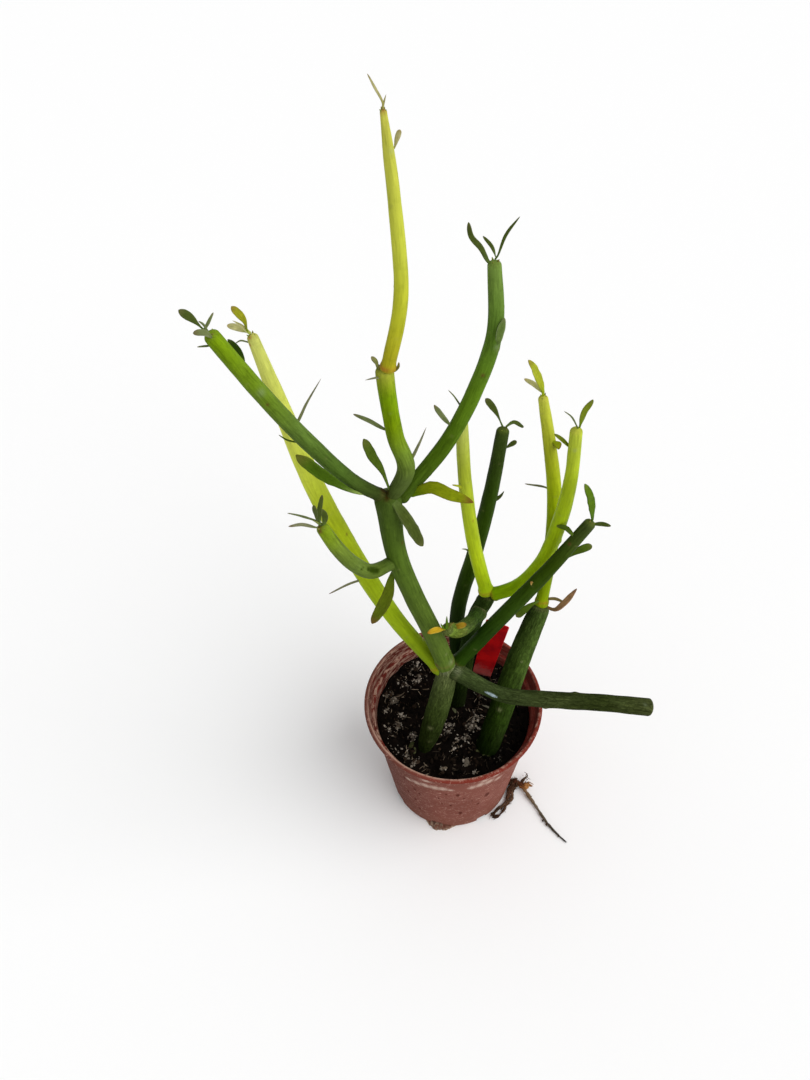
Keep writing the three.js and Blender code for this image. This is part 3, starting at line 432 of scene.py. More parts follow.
def noise(points, size, seed):
    """Smooth noise from -1 to 1: the values at the eight corners of the cell of that size, joined by 3w^2 - 2w^3."""
    place = np.asarray(points, float) / size
    cell = np.floor(place).astype(np.int64)
    w = place - cell
    w = w * w * (3 - 2 * w)
    total = 0
    for corner in np.ndindex(2, 2, 2):
        share = np.prod(np.where(np.array(corner) == 1, w, 1 - w), axis=-1)
        total = total + share * corner_value(cell + np.array(corner), seed)
    return 2 * total - 1


def rough_noise(points, size, seed):
    """Three layers of noise, each half as wide and half as strong as the one before."""
    return sum(noise(points, size / 2 ** k, seed + k) / 2 ** k for k in range(3)) / 1.75


CURVE_STEPS = 500  # points on every curve


def spline(path):
    """Points on a smooth curve through the path's points: a cubic between each two, whose slopes at both ends
    follow from the neighbours and the square roots of their distances."""
    p = np.asarray(path, float)
    p = np.vstack([2 * p[0] - p[1], p, 2 * p[-1] - p[-2]])
    x = np.linspace(0, len(path) - 1, CURVE_STEPS)
    i = np.minimum(x.astype(int), len(path) - 2)
    w = (x - i)[:, None]
    a, b, c, d = p[i], p[i + 1], p[i + 2], p[i + 3]
    d0, d1, d2 = (np.maximum(np.sum((u - v) ** 2, axis=1)[:, None] ** 0.25, 1e-4)
                  for u, v in ((a, b), (b, c), (c, d)))
    t1 = ((b - a) / d0 - (c - a) / (d0 + d1) + (c - b) / d1) * d1
    t2 = ((c - b) / d1 - (d - b) / (d1 + d2) + (d - c) / d2) * d1
    return b + t1 * w + (3 * (c - b) - 2 * t1 - t2) * w ** 2 + (2 * (b - c) + t1 + t2) * w ** 3


def travelled(points):
    """How far each point is along a line of points: the sum of the distances before it."""
    return np.r_[0, np.cumsum(np.linalg.norm(np.diff(points, axis=0), axis=1))]


def trace(path):
    """A curve's points and how far each one is along it."""
    points = spline(path)
    return points, travelled(points)


def along(line, reach):
    """Points and directions on a traced curve, read off at distances along it by straight lines between its
    points."""
    points, far = line
    slope = np.gradient(points, far, axis=0)
    read = [np.stack([np.interp(reach, far, table[:, k]) for k in range(3)], -1) for table in (points, slope)]
    return read[0], unit(read[1])


def read_off(pairs, places):
    """A value read off a list of (place, value) pairs that are joined by a smooth curve."""
    curve = spline([(x, y, 0) for x, y in pairs])
    return np.interp(places, curve[:, 0], curve[:, 1])


def even_list(values, share):
    """A value, or a colour, read off a list at even steps."""
    steps = np.linspace(0, 1, len(values))
    table = np.asarray(values, float)
    if table.ndim == 1:
        return read_off(list(zip(steps, table)), share)
    return np.stack([np.interp(share, steps, table[:, k]) for k in range(table.shape[1])], -1)


def spread(*parts):
    """Places from their three parts, each stretched to the shape that they have together."""
    return np.stack(np.broadcast_arrays(*parts), -1)


def round_about(count):
    """Angles at even steps once round: step x 2 pi / count."""
    return np.arange(count) * 2 * np.pi / count


def polar(radius, angle, height):
    """Places at a radius, an angle about the upright axis and a height: (r cos a, r sin a, h)."""
    return spread(radius * np.cos(angle), radius * np.sin(angle), height)


def turned_from(angle, middle):
    """How far angles are from a middle one, from minus half a turn to half a turn."""
    return (angle - middle + np.pi) % (2 * np.pi) - np.pi


# ---------------------------------------------------------------- skins


def skins(rings, poles):
    """Corners, four-sided and three-sided faces of closed skins, each a stack of rings with a fan of triangles
    to a pole at both ends. rings is (skins, rings, sides, 3), turning left-handed about the way from the first
    pole to the last when seen from the front, so that the faces point outwards."""
    count, rows, sides = rings.shape[:3]
    points = np.concatenate([rings.reshape(count, -1, 3), poles], 1).reshape(-1, 3)
    grid = np.arange(rows * sides).reshape(rows, sides)
    turn = np.roll(grid, -1, 1)
    quads = np.stack([grid[:-1], turn[:-1], turn[1:], grid[1:]], -1).reshape(-1, 4)
    first, last = np.full(sides, rows * sides), np.full(sides, rows * sides + 1)
    fans = np.concatenate([np.stack([first, turn[0], grid[0]], -1), np.stack([last, grid[-1], turn[-1]], -1)])
    shift = (np.arange(count) * (rows * sides + 2))[:, None, None]
    return points, (quads + shift).reshape(-1, 4), (fans + shift).reshape(-1, 3)


def on_corners(ring_values, pole_values):
    """Values on rings and poles, put in the order of a skin's corners."""
    count, width = ring_values.shape[0], ring_values.shape[3:]
    return np.concatenate([ring_values.reshape(count, -1, *width), pole_values], 1).reshape(-1, *width)


def ring_grid(centre, tangent, radius, sides, facing):
    """Rings square to a line: centre + radius x (cos a x normal + sin a x side), where the normal is the facing
    direction made square to the line and the side is the line's direction crossed with it."""
    normal = unit(facing - tangent * np.sum(tangent * facing, -1, keepdims=True))
    side = np.cross(tangent, normal)
    angle = round_about(sides)
    around = np.cos(angle)[None, :, None] * normal[:, None] + np.sin(angle)[None, :, None] * side[:, None]
    return centre[:, None] + radius[:, None, None] * around, around, angle


def make_piece(name, skin, material, stands_for, marks):
    """One object from corners, faces and values at the corners, in millimetres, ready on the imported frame."""
    points, quads, tris = skin
    mesh = bpy.data.meshes.new(name)
    loops = np.concatenate([quads.ravel(), tris.ravel()]).astype(np.int32)
    starts = np.concatenate([np.arange(len(quads)) * 4, len(quads) * 4 + np.arange(len(tris)) * 3]).astype(np.int32)
    mesh.vertices.add(len(points))
    mesh.vertices.foreach_set("co", (points * MM).astype(np.float32).ravel())
    mesh.loops.add(len(loops))
    mesh.loops.foreach_set("vertex_index", loops)
    mesh.polygons.add(len(starts))
    mesh.polygons.foreach_set("loop_start", starts)
    mesh.update(calc_edges=True)
    if mesh.validate():
        raise RuntimeError(f"{name} has broken faces")
    mesh.shade_smooth()
    set_marks(mesh, marks)
    mesh.materials.append(material)
    made = bpy.data.objects.new(name, mesh)
    bpy.context.scene.collection.objects.link(made)
    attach(made, "root")
    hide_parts(stands_for)
    return made


def set_marks(mesh, marks):
    """Writes values at the corners: three numbers under "tint" as a colour, three as a vector, one as a number."""
    for mark, values in marks.items():
        values = np.asarray(values, np.float32)
        kind, field = ("FLOAT", "value") if values.ndim == 1 else ("FLOAT_VECTOR", "vector")
        if mark == "tint":
            kind, field = "FLOAT_COLOR", "color"
            values = np.concatenate([values, np.ones((len(values), 1), np.float32)], 1)
        mesh.attributes.new(mark, kind, "POINT").data.foreach_set(field, values.ravel())


# ---------------------------------------------------------------- materials


def fill(tree, sockets, inputs):
    """Fills sockets with values or with other nodes' outputs."""
    for key, value in inputs.items():
        if isinstance(value, bpy.types.NodeSocket):
            tree.links.new(value, sockets[key])
        else:
            sockets[key].default_value = value


def spaced(inputs):
    """Socket names with a space for each underscore."""
    return {key.replace("_", " "): value for key, value in inputs.items()}


def solid(*colour):
    """A screen colour from 0 to 255 as light, and fully opaque."""
    return (*paint(colour), 1)


def put(tree, kind, inputs, **settings):
    """Adds a shader node, sets it up and fills its sockets."""
    made = tree.nodes.new("ShaderNode" + kind)
    for setting, value in settings.items():
        setattr(made, setting, value)
    fill(tree, made.inputs, inputs)
    return made


def reckon(tree, operation, *values, clamp=False):
    """A Math node's result."""
    return put(tree, "Math", dict(enumerate(values)), operation=operation, use_clamp=clamp).outputs[0]


def times(tree, first, second, clamp=False):
    """Two values' product."""
    return reckon(tree, "MULTIPLY", first, second, clamp=clamp)


def tinted(tree, share, first, second, way="MIX"):
    """A colour between two others, or one laid over another."""
    made = put(tree, "Mix", {0: share, 6: first, 7: second}, data_type="RGBA", blend_type=way)
    return made.outputs[2]


def layered(tree, colour, *layers):
    """Colours laid over a first one in turn, each by its share."""
    for share, over in layers:
        colour = tinted(tree, share, colour, over)
    return colour


def stepped(tree, value, low, high, to_low=0.0, to_high=1.0):
    """A value carried smoothly from one range to another."""
    made = put(tree, "MapRange", {0: value, 1: low, 2: high, 3: to_low, 4: to_high}, interpolation_type="SMOOTHSTEP")
    return made.outputs[0]


def cloudy(tree, place, scale, detail=3.0, roughness=0.55, distortion=0.0):
    """A noise texture's value."""
    made = put(tree, "TexNoise", {"Vector": place, "Scale": scale, "Detail": detail, "Roughness": roughness,
                                  "Distortion": distortion})
    return made.outputs[0]


def stretched(tree, place, factors):
    """A place multiplied part by part."""
    return put(tree, "VectorMath", {0: place, 1: factors}, operation="MULTIPLY").outputs[0]


def new_group(name, inputs, outputs):
    """An empty shader group with named sockets, and its input and output nodes."""
    tree = bpy.data.node_groups.new(name, "ShaderNodeTree")
    for label, kind, default in inputs:
        socket = tree.interface.new_socket(label, in_out="INPUT", socket_type="NodeSocket" + kind)
        socket.default_value = default
    for label, kind in outputs:
        tree.interface.new_socket(label, in_out="OUTPUT", socket_type="NodeSocket" + kind)
    return tree, tree.nodes.new("NodeGroupInput").outputs, tree.nodes.new("NodeGroupOutput").inputs


def grain_group():
    """Fine lengthwise grain with pores, for skins, leaves and roots."""
    found = bpy.data.node_groups.get("Plant grain")
    if found:
        return found
    tree, given, gives = new_group("Plant grain", [
        ("Place", "Vector", (0, 0, 0)), ("Colour", "Color", (0.2, 0.3, 0.1, 1)), ("Grain width", "Float", 0.5),
        ("Stretch", "Float", 0.12), ("Contrast", "Float", 0.3), ("Pores", "Float", 0.3), ("Net", "Float", 0.0),
        ("Dull", "Float", 0.6), ("Shiny", "Float", 0.4)],
        [("Colour", "Color"), ("Roughness", "Float"), ("Height", "Float")])
    scale = reckon(tree, "DIVIDE", 1.0, given["Grain width"])
    thin = put(tree, "CombineXYZ", {0: 1.0, 1: 1.0, 2: given["Stretch"]}).outputs[0]
    lines = cloudy(tree, stretched(tree, given["Place"], thin), scale, 2.0, 0.5, 0.6)
    blotch = cloudy(tree, given["Place"], 0.28, 3.0, 0.6, 0.3)
    specks = put(tree, "TexVoronoi", {"Vector": given["Place"], "Scale": 1.15, "Randomness": 1.0})
    pore = stepped(tree, specks.outputs["Distance"], 0.08, 0.2, 1.0, 0.0)
    pore = times(tree, pore, given["Pores"])
    dark = tinted(tree, 1.0, given["Colour"], (0.4, 0.42, 0.34, 1), "MULTIPLY")
    pale = tinted(tree, 1.0, given["Colour"], (1.7, 1.62, 1.7, 1), "MULTIPLY")
    contrast = given["Contrast"]
    in_lines = times(tree, stepped(tree, lines, 0.5, 0.28), contrast)
    between = times(tree, stepped(tree, lines, 0.56, 0.78), contrast)
    in_blotches = times(tree, stepped(tree, blotch, 0.5, 0.3), times(tree, contrast, 0.6))
    shaken = put(tree, "TexNoise", {"Vector": given["Place"], "Scale": 0.5, "Detail": 1.0}).outputs["Color"]
    wavy = put(tree, "VectorMath", {0: shaken, 1: (1.6, 1.6, 1.6), 2: given["Place"]},
               operation="MULTIPLY_ADD").outputs[0]
    cells = put(tree, "TexVoronoi", {"Vector": stretched(tree, wavy, (1.0, 1.0, 0.26)), "Scale": 0.95,
                                     "Randomness": 0.9}, feature="DISTANCE_TO_EDGE")
    seams = times(tree, stepped(tree, cells.outputs["Distance"], 0.16, 0.02), given["Net"])
    colour = layered(tree, given["Colour"], (in_lines, dark), (between, pale), (in_blotches, dark), (seams, dark),
                     (pore, pale))
    rough = put(tree, "MapRange", {0: blotch, 1: 0.3, 2: 0.7, 3: given["Shiny"], 4: given["Dull"]}).outputs[0]
    height = reckon(tree, "MULTIPLY_ADD", pore, 0.5, lines)
    fill(tree, gives, {"Colour": colour, "Roughness": rough,
                       "Height": reckon(tree, "MULTIPLY_ADD", seams, -0.8, height)})
    return tree


def dust_group():
    """Dried lime, dust and scuffs in clouds and streaks, laid over a plastic or an earthy surface."""
    found = bpy.data.node_groups.get("Lime and dust")
    if found:
        return found
    tree, given, gives = new_group("Lime and dust", [
        ("Place", "Vector", (0, 0, 0)), ("Colour", "Color", (0.2, 0.05, 0.04, 1)),
        ("Dust colour", "Color", (0.4, 0.35, 0.3, 1)), ("Amount", "Float", 0.3), ("Cloud size", "Float", 5.0),
        ("Clean", "Float", 0.45), ("Dusty", "Float", 0.85)],
        [("Colour", "Color"), ("Roughness", "Float"), ("Dust", "Float")])
    scale = reckon(tree, "DIVIDE", 1.0, given["Cloud size"])
    cloud = cloudy(tree, given["Place"], scale, 6.0, 0.68, 0.4)
    low = reckon(tree, "SUBTRACT", 0.78, times(tree, given["Amount"], 0.62))
    share = stepped(tree, cloud, low, reckon(tree, "ADD", low, 0.12))
    share = times(tree, share, reckon(tree, "MULTIPLY_ADD", given["Amount"], 0.5, 0.45), clamp=True)
    colour = tinted(tree, share, given["Colour"], given["Dust colour"])
    rough = put(tree, "MapRange", {0: share, 1: 0.0, 2: 1.0, 3: given["Clean"], 4: given["Dusty"]}).outputs[0]
    fill(tree, gives, {"Colour": colour, "Roughness": rough, "Dust": share})
    return tree


def use_group(tree, group, **inputs):
    """Places a group in a material and fills its sockets by name, with a space for each underscore."""
    made = tree.nodes.new("ShaderNodeGroup")
    made.node_tree = group
    fill(tree, made.inputs, spaced(inputs))
    return made.outputs


def new_material(name, **sockets):
    """A material with one Principled shader, whose plain values are set on its own sockets."""
    made = bpy.data.materials.new(name)
    made.use_nodes = True
    shader = made.node_tree.nodes["Principled BSDF"].inputs
    fill(made.node_tree, shader, spaced(sockets))
    return made, made.node_tree, shader


def mark_of(tree, name, output="Fac"):
    """A value stored at the mesh's corners."""
    return put(tree, "Attribute", {}, attribute_name=name).outputs[output]


def in_millimetres(tree):
    """Object coordinates in millimetres."""
    made = put(tree, "TexCoord", {})
    return put(tree, "VectorMath", {0: made.outputs["Object"], "Scale": 1000.0}, operation="SCALE").outputs[0]


def surface(tree, shader, colour, roughness, height, depth):
    """Feeds a colour, a roughness and a relief of a depth in millimetres into the shader."""
    relief = put(tree, "Bump", {"Height": height, "Distance": depth * MM}).outputs[0]
    fill(tree, shader, {"Base Color": colour, "Roughness": roughness, "Normal": relief})


SKINS = {  # finish: name, gloss, depth of the grain, grain width, stretch, contrast, pores, net, dull, shiny
    "bark": ("old bark", 0.01, 0.35, 0.7, 0.13, 0.95, 0.3, 0.5, 0.75, 0.55),
    "green": ("green stem skin", 0.02, 0.14, 0.75, 0.09, 0.45, 0.3, 0.12, 0.6, 0.4),
    "yellow": ("yellow stem skin", 0.04, 0.08, 0.7, 0.07, 0.3, 0.14, 0.04, 0.58, 0.38),
    "leaf": ("leaf blade", 0.02, 0.06, 0.4, 0.2, 0.4, 0.2, 0.1, 0.6, 0.4),
    "root": ("dry root", 0.006, 0.15, 0.35, 0.3, 0.8, 0.25, 0.5, 0.95, 0.8),
}
GRAIN_SOCKETS = ("Grain_width", "Stretch", "Contrast", "Pores", "Net", "Dull", "Shiny")


def skin_finish(kind):
    """The finish of a skin, leaf or root, built when it is first asked for: its own tint with grain and pores."""
    name, gloss, depth, *values = SKINS[kind]
    found = bpy.data.materials.get(name)
    if found:
        return found
    made, tree, shader = new_material(name, Specular_IOR_Level=gloss, Specular_Tint=(0.8, 1.0, 0.3, 1))
    grain = use_group(tree, grain_group(), Place=mark_of(tree, "grain", "Vector"),
                      Colour=mark_of(tree, "tint", "Color"), **dict(zip(GRAIN_SOCKETS, values)))
    surface(tree, shader, grain["Colour"], grain["Roughness"], grain["Height"], depth)
    return made


# ---------------------------------------------------------------- stems


def stem_radius(name, share):
    """Half the stem's diameter at shares of its length."""
    return even_list(STEMS[name]["wide"], share) / 2


def stem_collar(name):
    """Where a stem comes out of what carries it: the last place on its first third that lies inside that stem,
    whose radius shrinks towards its tip with the square root of what is left of it."""
    points, reach = trace(STEMS[name]["path"])
    place = 0.0
    for parent in STEMS[name]["on"]:
        other, far = trace(STEMS[parent]["path"])
        gaps = np.linalg.norm(points[:, None] - other[None], axis=2)
        near = far[gaps.argmin(1)]
        thick = stem_radius(parent, near / far[-1])
        thick = thick * np.sqrt(np.clip((far[-1] - near) / (0.8 * thick[-1]), 0.12, 1))
        inside = (gaps.min(1) < thick) & (reach < 0.33 * reach[-1])
        place = max(place, float(np.max(reach * inside)))
    return place


SPIRAL = 2.39996  # the turn from one scar or bud to the next: 137.5 degrees
LIT_SIDE = unit(np.array([0.9, -0.2, 0.2]))  # the side of a stem painted paler as painted light, with the far side painted darker as painted shade
SHEEN_FILM_SIDE = unit(np.array([0.75, -0.3, 0.55]))  # the side towards the light, which carries a pale bloom film that is partly painted sheen
BLOOM_SHEEN_TONE, SCAR_TONE = (150, 166, 110), (136, 132, 84)
SCAR_STEP, SCAR_HEIGHT = 9.0, 0.1
GRAIN_SHIFT = 31.7  # how far apart the grains of two stems are read
SKIN_WAYS = {  # finish: painted side light, worn ring's colour, tip's colour, share of it, wrinkles, swellings, streaks, pale bloom film partly painted as sheen
    "bark": (0.34, (130, 128, 88), (96, 100, 62), 0.6, 1.0, 1.1, 0.45, 0.1),
    "green": (0.12, (104, 92, 48), (112, 126, 50), 0.3, 0.3, 0.7, 0.16, 0.03),
    "yellow": (0.04, (158, 88, 42), (162, 152, 66), 0.35, 0.3, 0.7, 0.16, 0.03),
}


def stem_skin(name, sides, step, relief, seed):
    """A round stem carried along its line, with rounded ends. Its radius is read off its list and raised by
    lengthwise wrinkles, slow swellings, leaf scars in a spiral of 137.5 degrees, and the marks of its own."""
    stem = STEMS[name]
    side_light, worn_tone, tip_tone, tip_share, wrinkles, swellings, streaks, film = SKIN_WAYS[stem["skin"]]
    line = trace(stem["path"])
    length = line[1][-1]
    bark = stem["skin"] == "bark"
    ends = stem_radius(name, np.array([0.0, 1.0])) * (0.5 if bark else 0.8)
    turn = np.linspace(0.14, 1, 8)[:-1] * np.pi / 2
    reach = np.concatenate([ends[0] * (1 - np.cos(turn)), np.arange(ends[0], length - ends[1], step),
                            length - ends[1] * (1 - np.cos(turn[::-1]))])
    foot_cut, tip_cut = np.clip(1 - reach / ends[0], 0, 1) ** 2, np.clip(1 - (length - reach) / ends[1], 0, 1) ** 2
    radius = stem_radius(name, reach / length) * np.sqrt((1 - foot_cut) * (1 - tip_cut))
    collar = stem_collar(name)
    ring = np.exp(-((reach - collar - 0.9) / 0.9) ** 2) if collar else np.zeros(len(reach))
    foot = np.exp(-((reach - collar + 0.4) / 2.2) ** 2) if collar else np.zeros(len(reach))
    radius = radius * (1 + stem.get("swell", 0.2) * foot) + 0.1 * ring
    centre, tangent = along(line, reach)
    points, around, angle = ring_grid(centre, tangent, radius, sides, np.array([0.0, -1.0, 0.0]))
    far = reach[:, None]
    grain = polar(radius[:, None], angle, far) + seed * GRAIN_SHIFT

    lines = rough_noise(grain * (1, 1, 0.14), 1.1, seed)
    rise = relief * (lines * wrinkles + noise(grain, 6.5, seed + 5) * swellings)

    tint = paint(even_list(stem["tones"], reach / length))[:, None]
    tint = tint * (1 + streaks * lines + 0.14 * noise(grain * (1, 1, 0.4), 4.5, seed + 9))[..., None]
    # painted light and shade: the side towards the light is paler and the far side darker
    tint = tint * (1 + stem.get("side_light", side_light) * (around @ LIT_SIDE))[..., None]
    # a pale bloom film on the side towards the light: partly real bloom, partly painted sheen
    lit_side_film = np.clip(around @ SHEEN_FILM_SIDE, 0, 1) ** 2 * (0.5 + 0.5 * noise(grain * (1, 1, 0.5), 2.2, seed + 3))
    tint = blend(tint, paint(BLOOM_SHEEN_TONE), lit_side_film * film)

    scars = np.arange(collar + 5, length - 6, SCAR_STEP) if not bark else []
    for k, place in enumerate(scars):
        off = turned_from(angle, k * SPIRAL + seed)
        scar = np.exp(-(off * radius[:, None] / 0.75) ** 2 - ((far - place) / 0.38) ** 2)
        rise = rise + SCAR_HEIGHT * scar
        tint = blend(tint, paint(SCAR_TONE), 0.24 * scar)
    worn = stem.get("collar", 1.0) * ring[:, None] * (0.55 + 0.45 * noise(grain, 1.3, seed + 1))
    tint = blend(tint, paint(worn_tone), 0.75 * worn)
    tint = blend(tint, paint(tip_tone), tip_share * ease(length - 2.2, length - 0.4, far))
    for kind, place, size in SPOTS.get(name, []):
        colour, share, height = SPOT_KINDS[kind]
        away = np.linalg.norm(points - np.array(place), axis=-1) / (size * 1.15)
        spot = np.exp(-away ** 4 if kind in ("latex_glint", "shaded_hollow") else -away ** 2)
        rise = rise + spot * height * size
        tint = blend(tint, paint(colour), spot * share)
    points = points + around * rise[..., None]

    poles = along(line, np.array([0.0, length]))[0]
    skin = skins(points[None], poles[None])
    pole_grain = spread(0, 0, np.array([0, length]))[None] + seed * GRAIN_SHIFT
    marks = {"tint": on_corners(tint[None], tint[None, [0, -1], 0]), "grain": on_corners(grain[None], pole_grain)}
    return skin, marks


# ---------------------------------------------------------------- leaves

LIGHT = unit(np.array([0.0, -0.63, 0.775]))  # leaves turn their faces this way
BUDS = 4  # at the tip of a stem


def leaf_skin(rib, outline, width, tone, thickness, roll, seed, rows=22, sides=14):
    """A fleshy leaf: a flat oval section carried along its midrib, whose half width is read off its outline,
    with edges that lift by the fold and a blade that waves by noise. The face looks to the light, turned by roll."""
    line = trace(rib)
    share = np.sin(np.linspace(0.0, 1.0, rows) * np.pi / 2) ** 1.25
    far = share * line[1][-1]
    centre, tangent = along(line, far)
    across = unit(np.cross(tangent, LIGHT))
    under = np.cross(tangent, across)
    c, s = math.cos(roll), math.sin(roll)
    across, under = across * c + under * s, under * c - across * s
    wave = spread(far, 0, 0) + seed * 7.3
    half = width / 2 * np.clip(read_off(LEAF_OUTLINES[outline], share), 0.04, 2) * (1 + 0.08 * noise(wave, 2.5, seed))
    body = np.minimum(thickness / 2 * (1.15 - 0.5 * share), half * 0.95)
    angle = round_about(sides)
    cos, sin = np.cos(angle)[None], np.sin(angle)[None]
    fold = 0.22 * half[:, None] * np.abs(cos) ** 1.6
    lift = 0.14 * width * noise(wave, 4.0, seed + 2)[:, None] * share[:, None]
    drop = body[:, None] * np.sign(sin) * np.abs(sin) ** 0.8 - fold - lift
    points = centre[:, None] + across[:, None] * (half[:, None] * cos)[..., None] + under[:, None] * drop[..., None]
    root, blade, edge, tip = (paint(colour) for colour in LEAF_TONES[tone])
    where = share[:, None]
    tint = blend(blade, edge, 0.85 * np.abs(cos) ** 5)
    tint = blend(tint, edge, 0.35 * ease(0.2, 0.9, sin))
    tint = blend(tint, root, 0.7 * np.exp(-(half[:, None] * cos / 0.22) ** 2) * (1 - where) * (sin < 0.3))
    tint = blend(tint, root, 1 - ease(0.08, 0.4, where))
    tint = blend(tint, tip, ease(0.8, 0.99, where))
    grain = spread(half[:, None] * cos, body[:, None] * sin, far[:, None]) + seed * 13.1
    tint = tint * (1 + 0.14 * noise(grain, 1.6, seed + 4))[..., None]
    ends = np.stack([centre[0] - tangent[0] * 0.02, centre[-1] + tangent[-1] * 0.1 - under[-1] * lift[-1]])
    return points, ends, tint, grain


def stem_leaves(name, thickness, roll, seed):
    """All of a stem's leaves as closed skins. Each starts on the stem's middle line, and a ring of small buds
    closes the tip."""
    chance = np.random.default_rng(seed)
    line = trace(STEMS[name]["path"])
    radius = stem_radius(name, line[1] / line[1][-1])
    made = []
    for outline, tone, width, rib in LEAVES.get(name, []):
        gaps = np.linalg.norm(line[0] - np.array(rib[0]), axis=1)
        start = line[0][gaps.argmin()]
        if gaps.min() > 0.5 * radius[gaps.argmin()]:
            rib = [start + 0.25 * (np.array(rib[0]) - start), *rib]
        made.append(leaf_skin(rib, outline, width, tone, min(thickness, width * 0.5),
                              chance.uniform(-roll, roll), seed + len(made) * 17))
    if STEMS[name]["skin"] != "bark" and name not in BUDLESS:
        tip, way = along(line, line[1][-1:])
        side = unit(np.cross(way[0], LIGHT))
        other = np.cross(way[0], side)
        for k in range(BUDS):
            angle, long = k * SPIRAL + seed, chance.uniform(0.8, 1.5)
            out = side * math.cos(angle) + other * math.sin(angle)
            start = tip[0] - way[0] * 1.2 + out * radius[-1] * 0.45
            rib = [start, start + way[0] * long * 0.7 + out * long * 0.2,
                   start + way[0] * long * 1.2 + out * long * 0.55]
            made.append(leaf_skin(rib, "spike", 0.9, "tip" if k % 3 else "bud", 0.7, 0.0, seed + 60 + k))
    if not made:
        return None
    points, ends, tint, grain = (np.stack(part) for part in zip(*made))
    return skins(points, ends), {"tint": on_corners(tint, tint[:, [0, -1], 0]),
                                 "grain": on_corners(grain, grain[:, [0, -1], 0])}


# ---------------------------------------------------------------- pot

OUTLINE_STEP = 0.9
SLOTS_ROUND, FIRST_SLOT = 8, math.radians(-17)
SLOT_REACH = (27.3, 37.3)
SLOT_SECTION = [(-3, -2), (3, -2), (3, 3.4), (2.6, 4.0), (2.0, 4.2), (-2.0, 4.2), (-2.6, 4.0), (-3, 3.4)]
BAND_FOOT, BAND_TOP = 71.2, 77.6  # where the middle of the plastic turns out to the band and in to the lip
RIM_RADIUS = 43.2


def rounded_outline(corners, radius):
    """An outline whose inner corners are replaced by three points of a curve from radius before to radius after,
    and whose straight stretches are cut into even steps."""
    p = np.asarray(corners, float)
    before, after = p[:-2] - p[1:-1], p[2:] - p[1:-1]
    cut = [np.minimum(radius, np.linalg.norm(side, axis=1) * 0.45)[:, None] * unit(side) for side in (before, after)]
    curve = np.stack([p[1:-1] + cut[0], p[1:-1] + 0.25 * (cut[0] + cut[1]), p[1:-1] + cut[1]], 1).reshape(-1, 2)
    points = np.vstack([p[:1], curve, p[-1:]])
    reach = travelled(points)
    places = np.unique(np.concatenate([reach, np.arange(0, reach[-1], OUTLINE_STEP)]))
    places = places[np.r_[True, np.diff(places) > 0.02]]
    return np.stack([np.interp(places, reach, points[:, k]) for k in range(2)], -1)


def pot_skin(ridge, out_of_round, sides=216):
    """The pot's section turned about the upright axis. Its radius is shaken by a slow out-of-round wave and, inside
    the band, by fine rings."""
    outline = rounded_outline(POT_SECTION, 0.45)[1:-1]
    angle = round_about(sides)
    radius, height = outline[:, :1], outline[:, 1:]
    inside = (np.arange(len(outline)) > np.argmax(outline[:, 1]))[:, None]
    rings = ridge * np.sin(height * 2 * np.pi / 1.5) * ease(70, 72, height) * (1 - ease(77, 79, height)) * inside
    wave = out_of_round * np.sin(2 * angle[None] + 0.6) * (height / 80) * np.minimum(radius / 30, 1)
    points = polar(radius + rings + wave, angle, height)
    return skins(points[None], np.array([[[0, 0, 0], [0, 0, WALL]]], float))


def drain_slot(turn):
    """A box with its corners cut, through the foot at an angle: eight corners round the slot's section."""
    reach, section = np.array(SLOT_REACH), np.array(SLOT_SECTION)
    rings = spread(reach[:, None], section[:, 0], section[:, 1])
    poles = spread(reach, 0, 1.0)
    c, s = math.cos(turn), math.sin(turn)
    spin = np.array([[c, s, 0], [-s, c, 0], [0, 0, 1]])
    return skins((rings @ spin)[None], (poles @ spin)[None])


def cut_slots(pot):
    """Cuts the drain slots through the foot and writes what is left back into the pot's mesh."""
    cutters = []
    for k, turn in enumerate(FIRST_SLOT + round_about(SLOTS_ROUND)):
        points, quads, tris = drain_slot(turn)
        mesh = bpy.data.meshes.new(f"slot_{k}")
        mesh.from_pydata((points * MM).tolist(), [], quads.tolist() + tris.tolist())
        cutter = bpy.data.objects.new(f"slot_{k}", mesh)
        bpy.context.scene.collection.objects.link(cutter)
        cut = pot.modifiers.new(f"slot_{k}", "BOOLEAN")
        cut.operation, cut.solver, cut.object = "DIFFERENCE", "EXACT", cutter
        cutters.append(cutter)
    bpy.context.view_layer.update()
    seen = pot.evaluated_get(bpy.context.evaluated_depsgraph_get())
    mesh = bpy.data.meshes.new_from_object(seen)
    pot.modifiers.clear()
    old, pot.data = pot.data, mesh
    bpy.data.meshes.remove(old)
    mesh.name = pot.name
    for cutter in cutters:
        mesh = cutter.data
        bpy.data.objects.remove(cutter)
        bpy.data.meshes.remove(mesh)


def corners_of(mesh):
    """A mesh's corners in millimetres."""
    flat = np.zeros(len(mesh.vertices) * 3, np.float32)
    mesh.vertices.foreach_get("co", flat)
    return flat.reshape(-1, 3).astype(float) * 1000


# Scuffs on the outside of the pot: height, angle in degrees, size along the wall and up it.
POT_SCUFFS = [
    (57.5, -127, 2.6, 2.0), (59, -120, 3.6, 2.8), (60.5, -113, 4.0, 3.2), (61, -106, 4.0, 3.6),
    (61.5, -100, 3.4, 3.2), (60.5, -95, 2.4, 1.8), (74, -111, 3.4, 2.2), (61.6, -79, 2.8, 3.0),
    (62.5, -73, 3.6, 3.8), (62, -66, 3.8, 3.6), (59.5, -58, 3.2, 2.6), (73, -72, 3.4, 2.4),
    (74, -64, 2.4, 2.0), (66, 62, 8.0, 1.0), (65, 138, 9.0, 1.0), (66, -20, 5.0, 1.0),
    (65, -164, 8.0, 1.0), (73, 104, 9.0, 1.0),
]
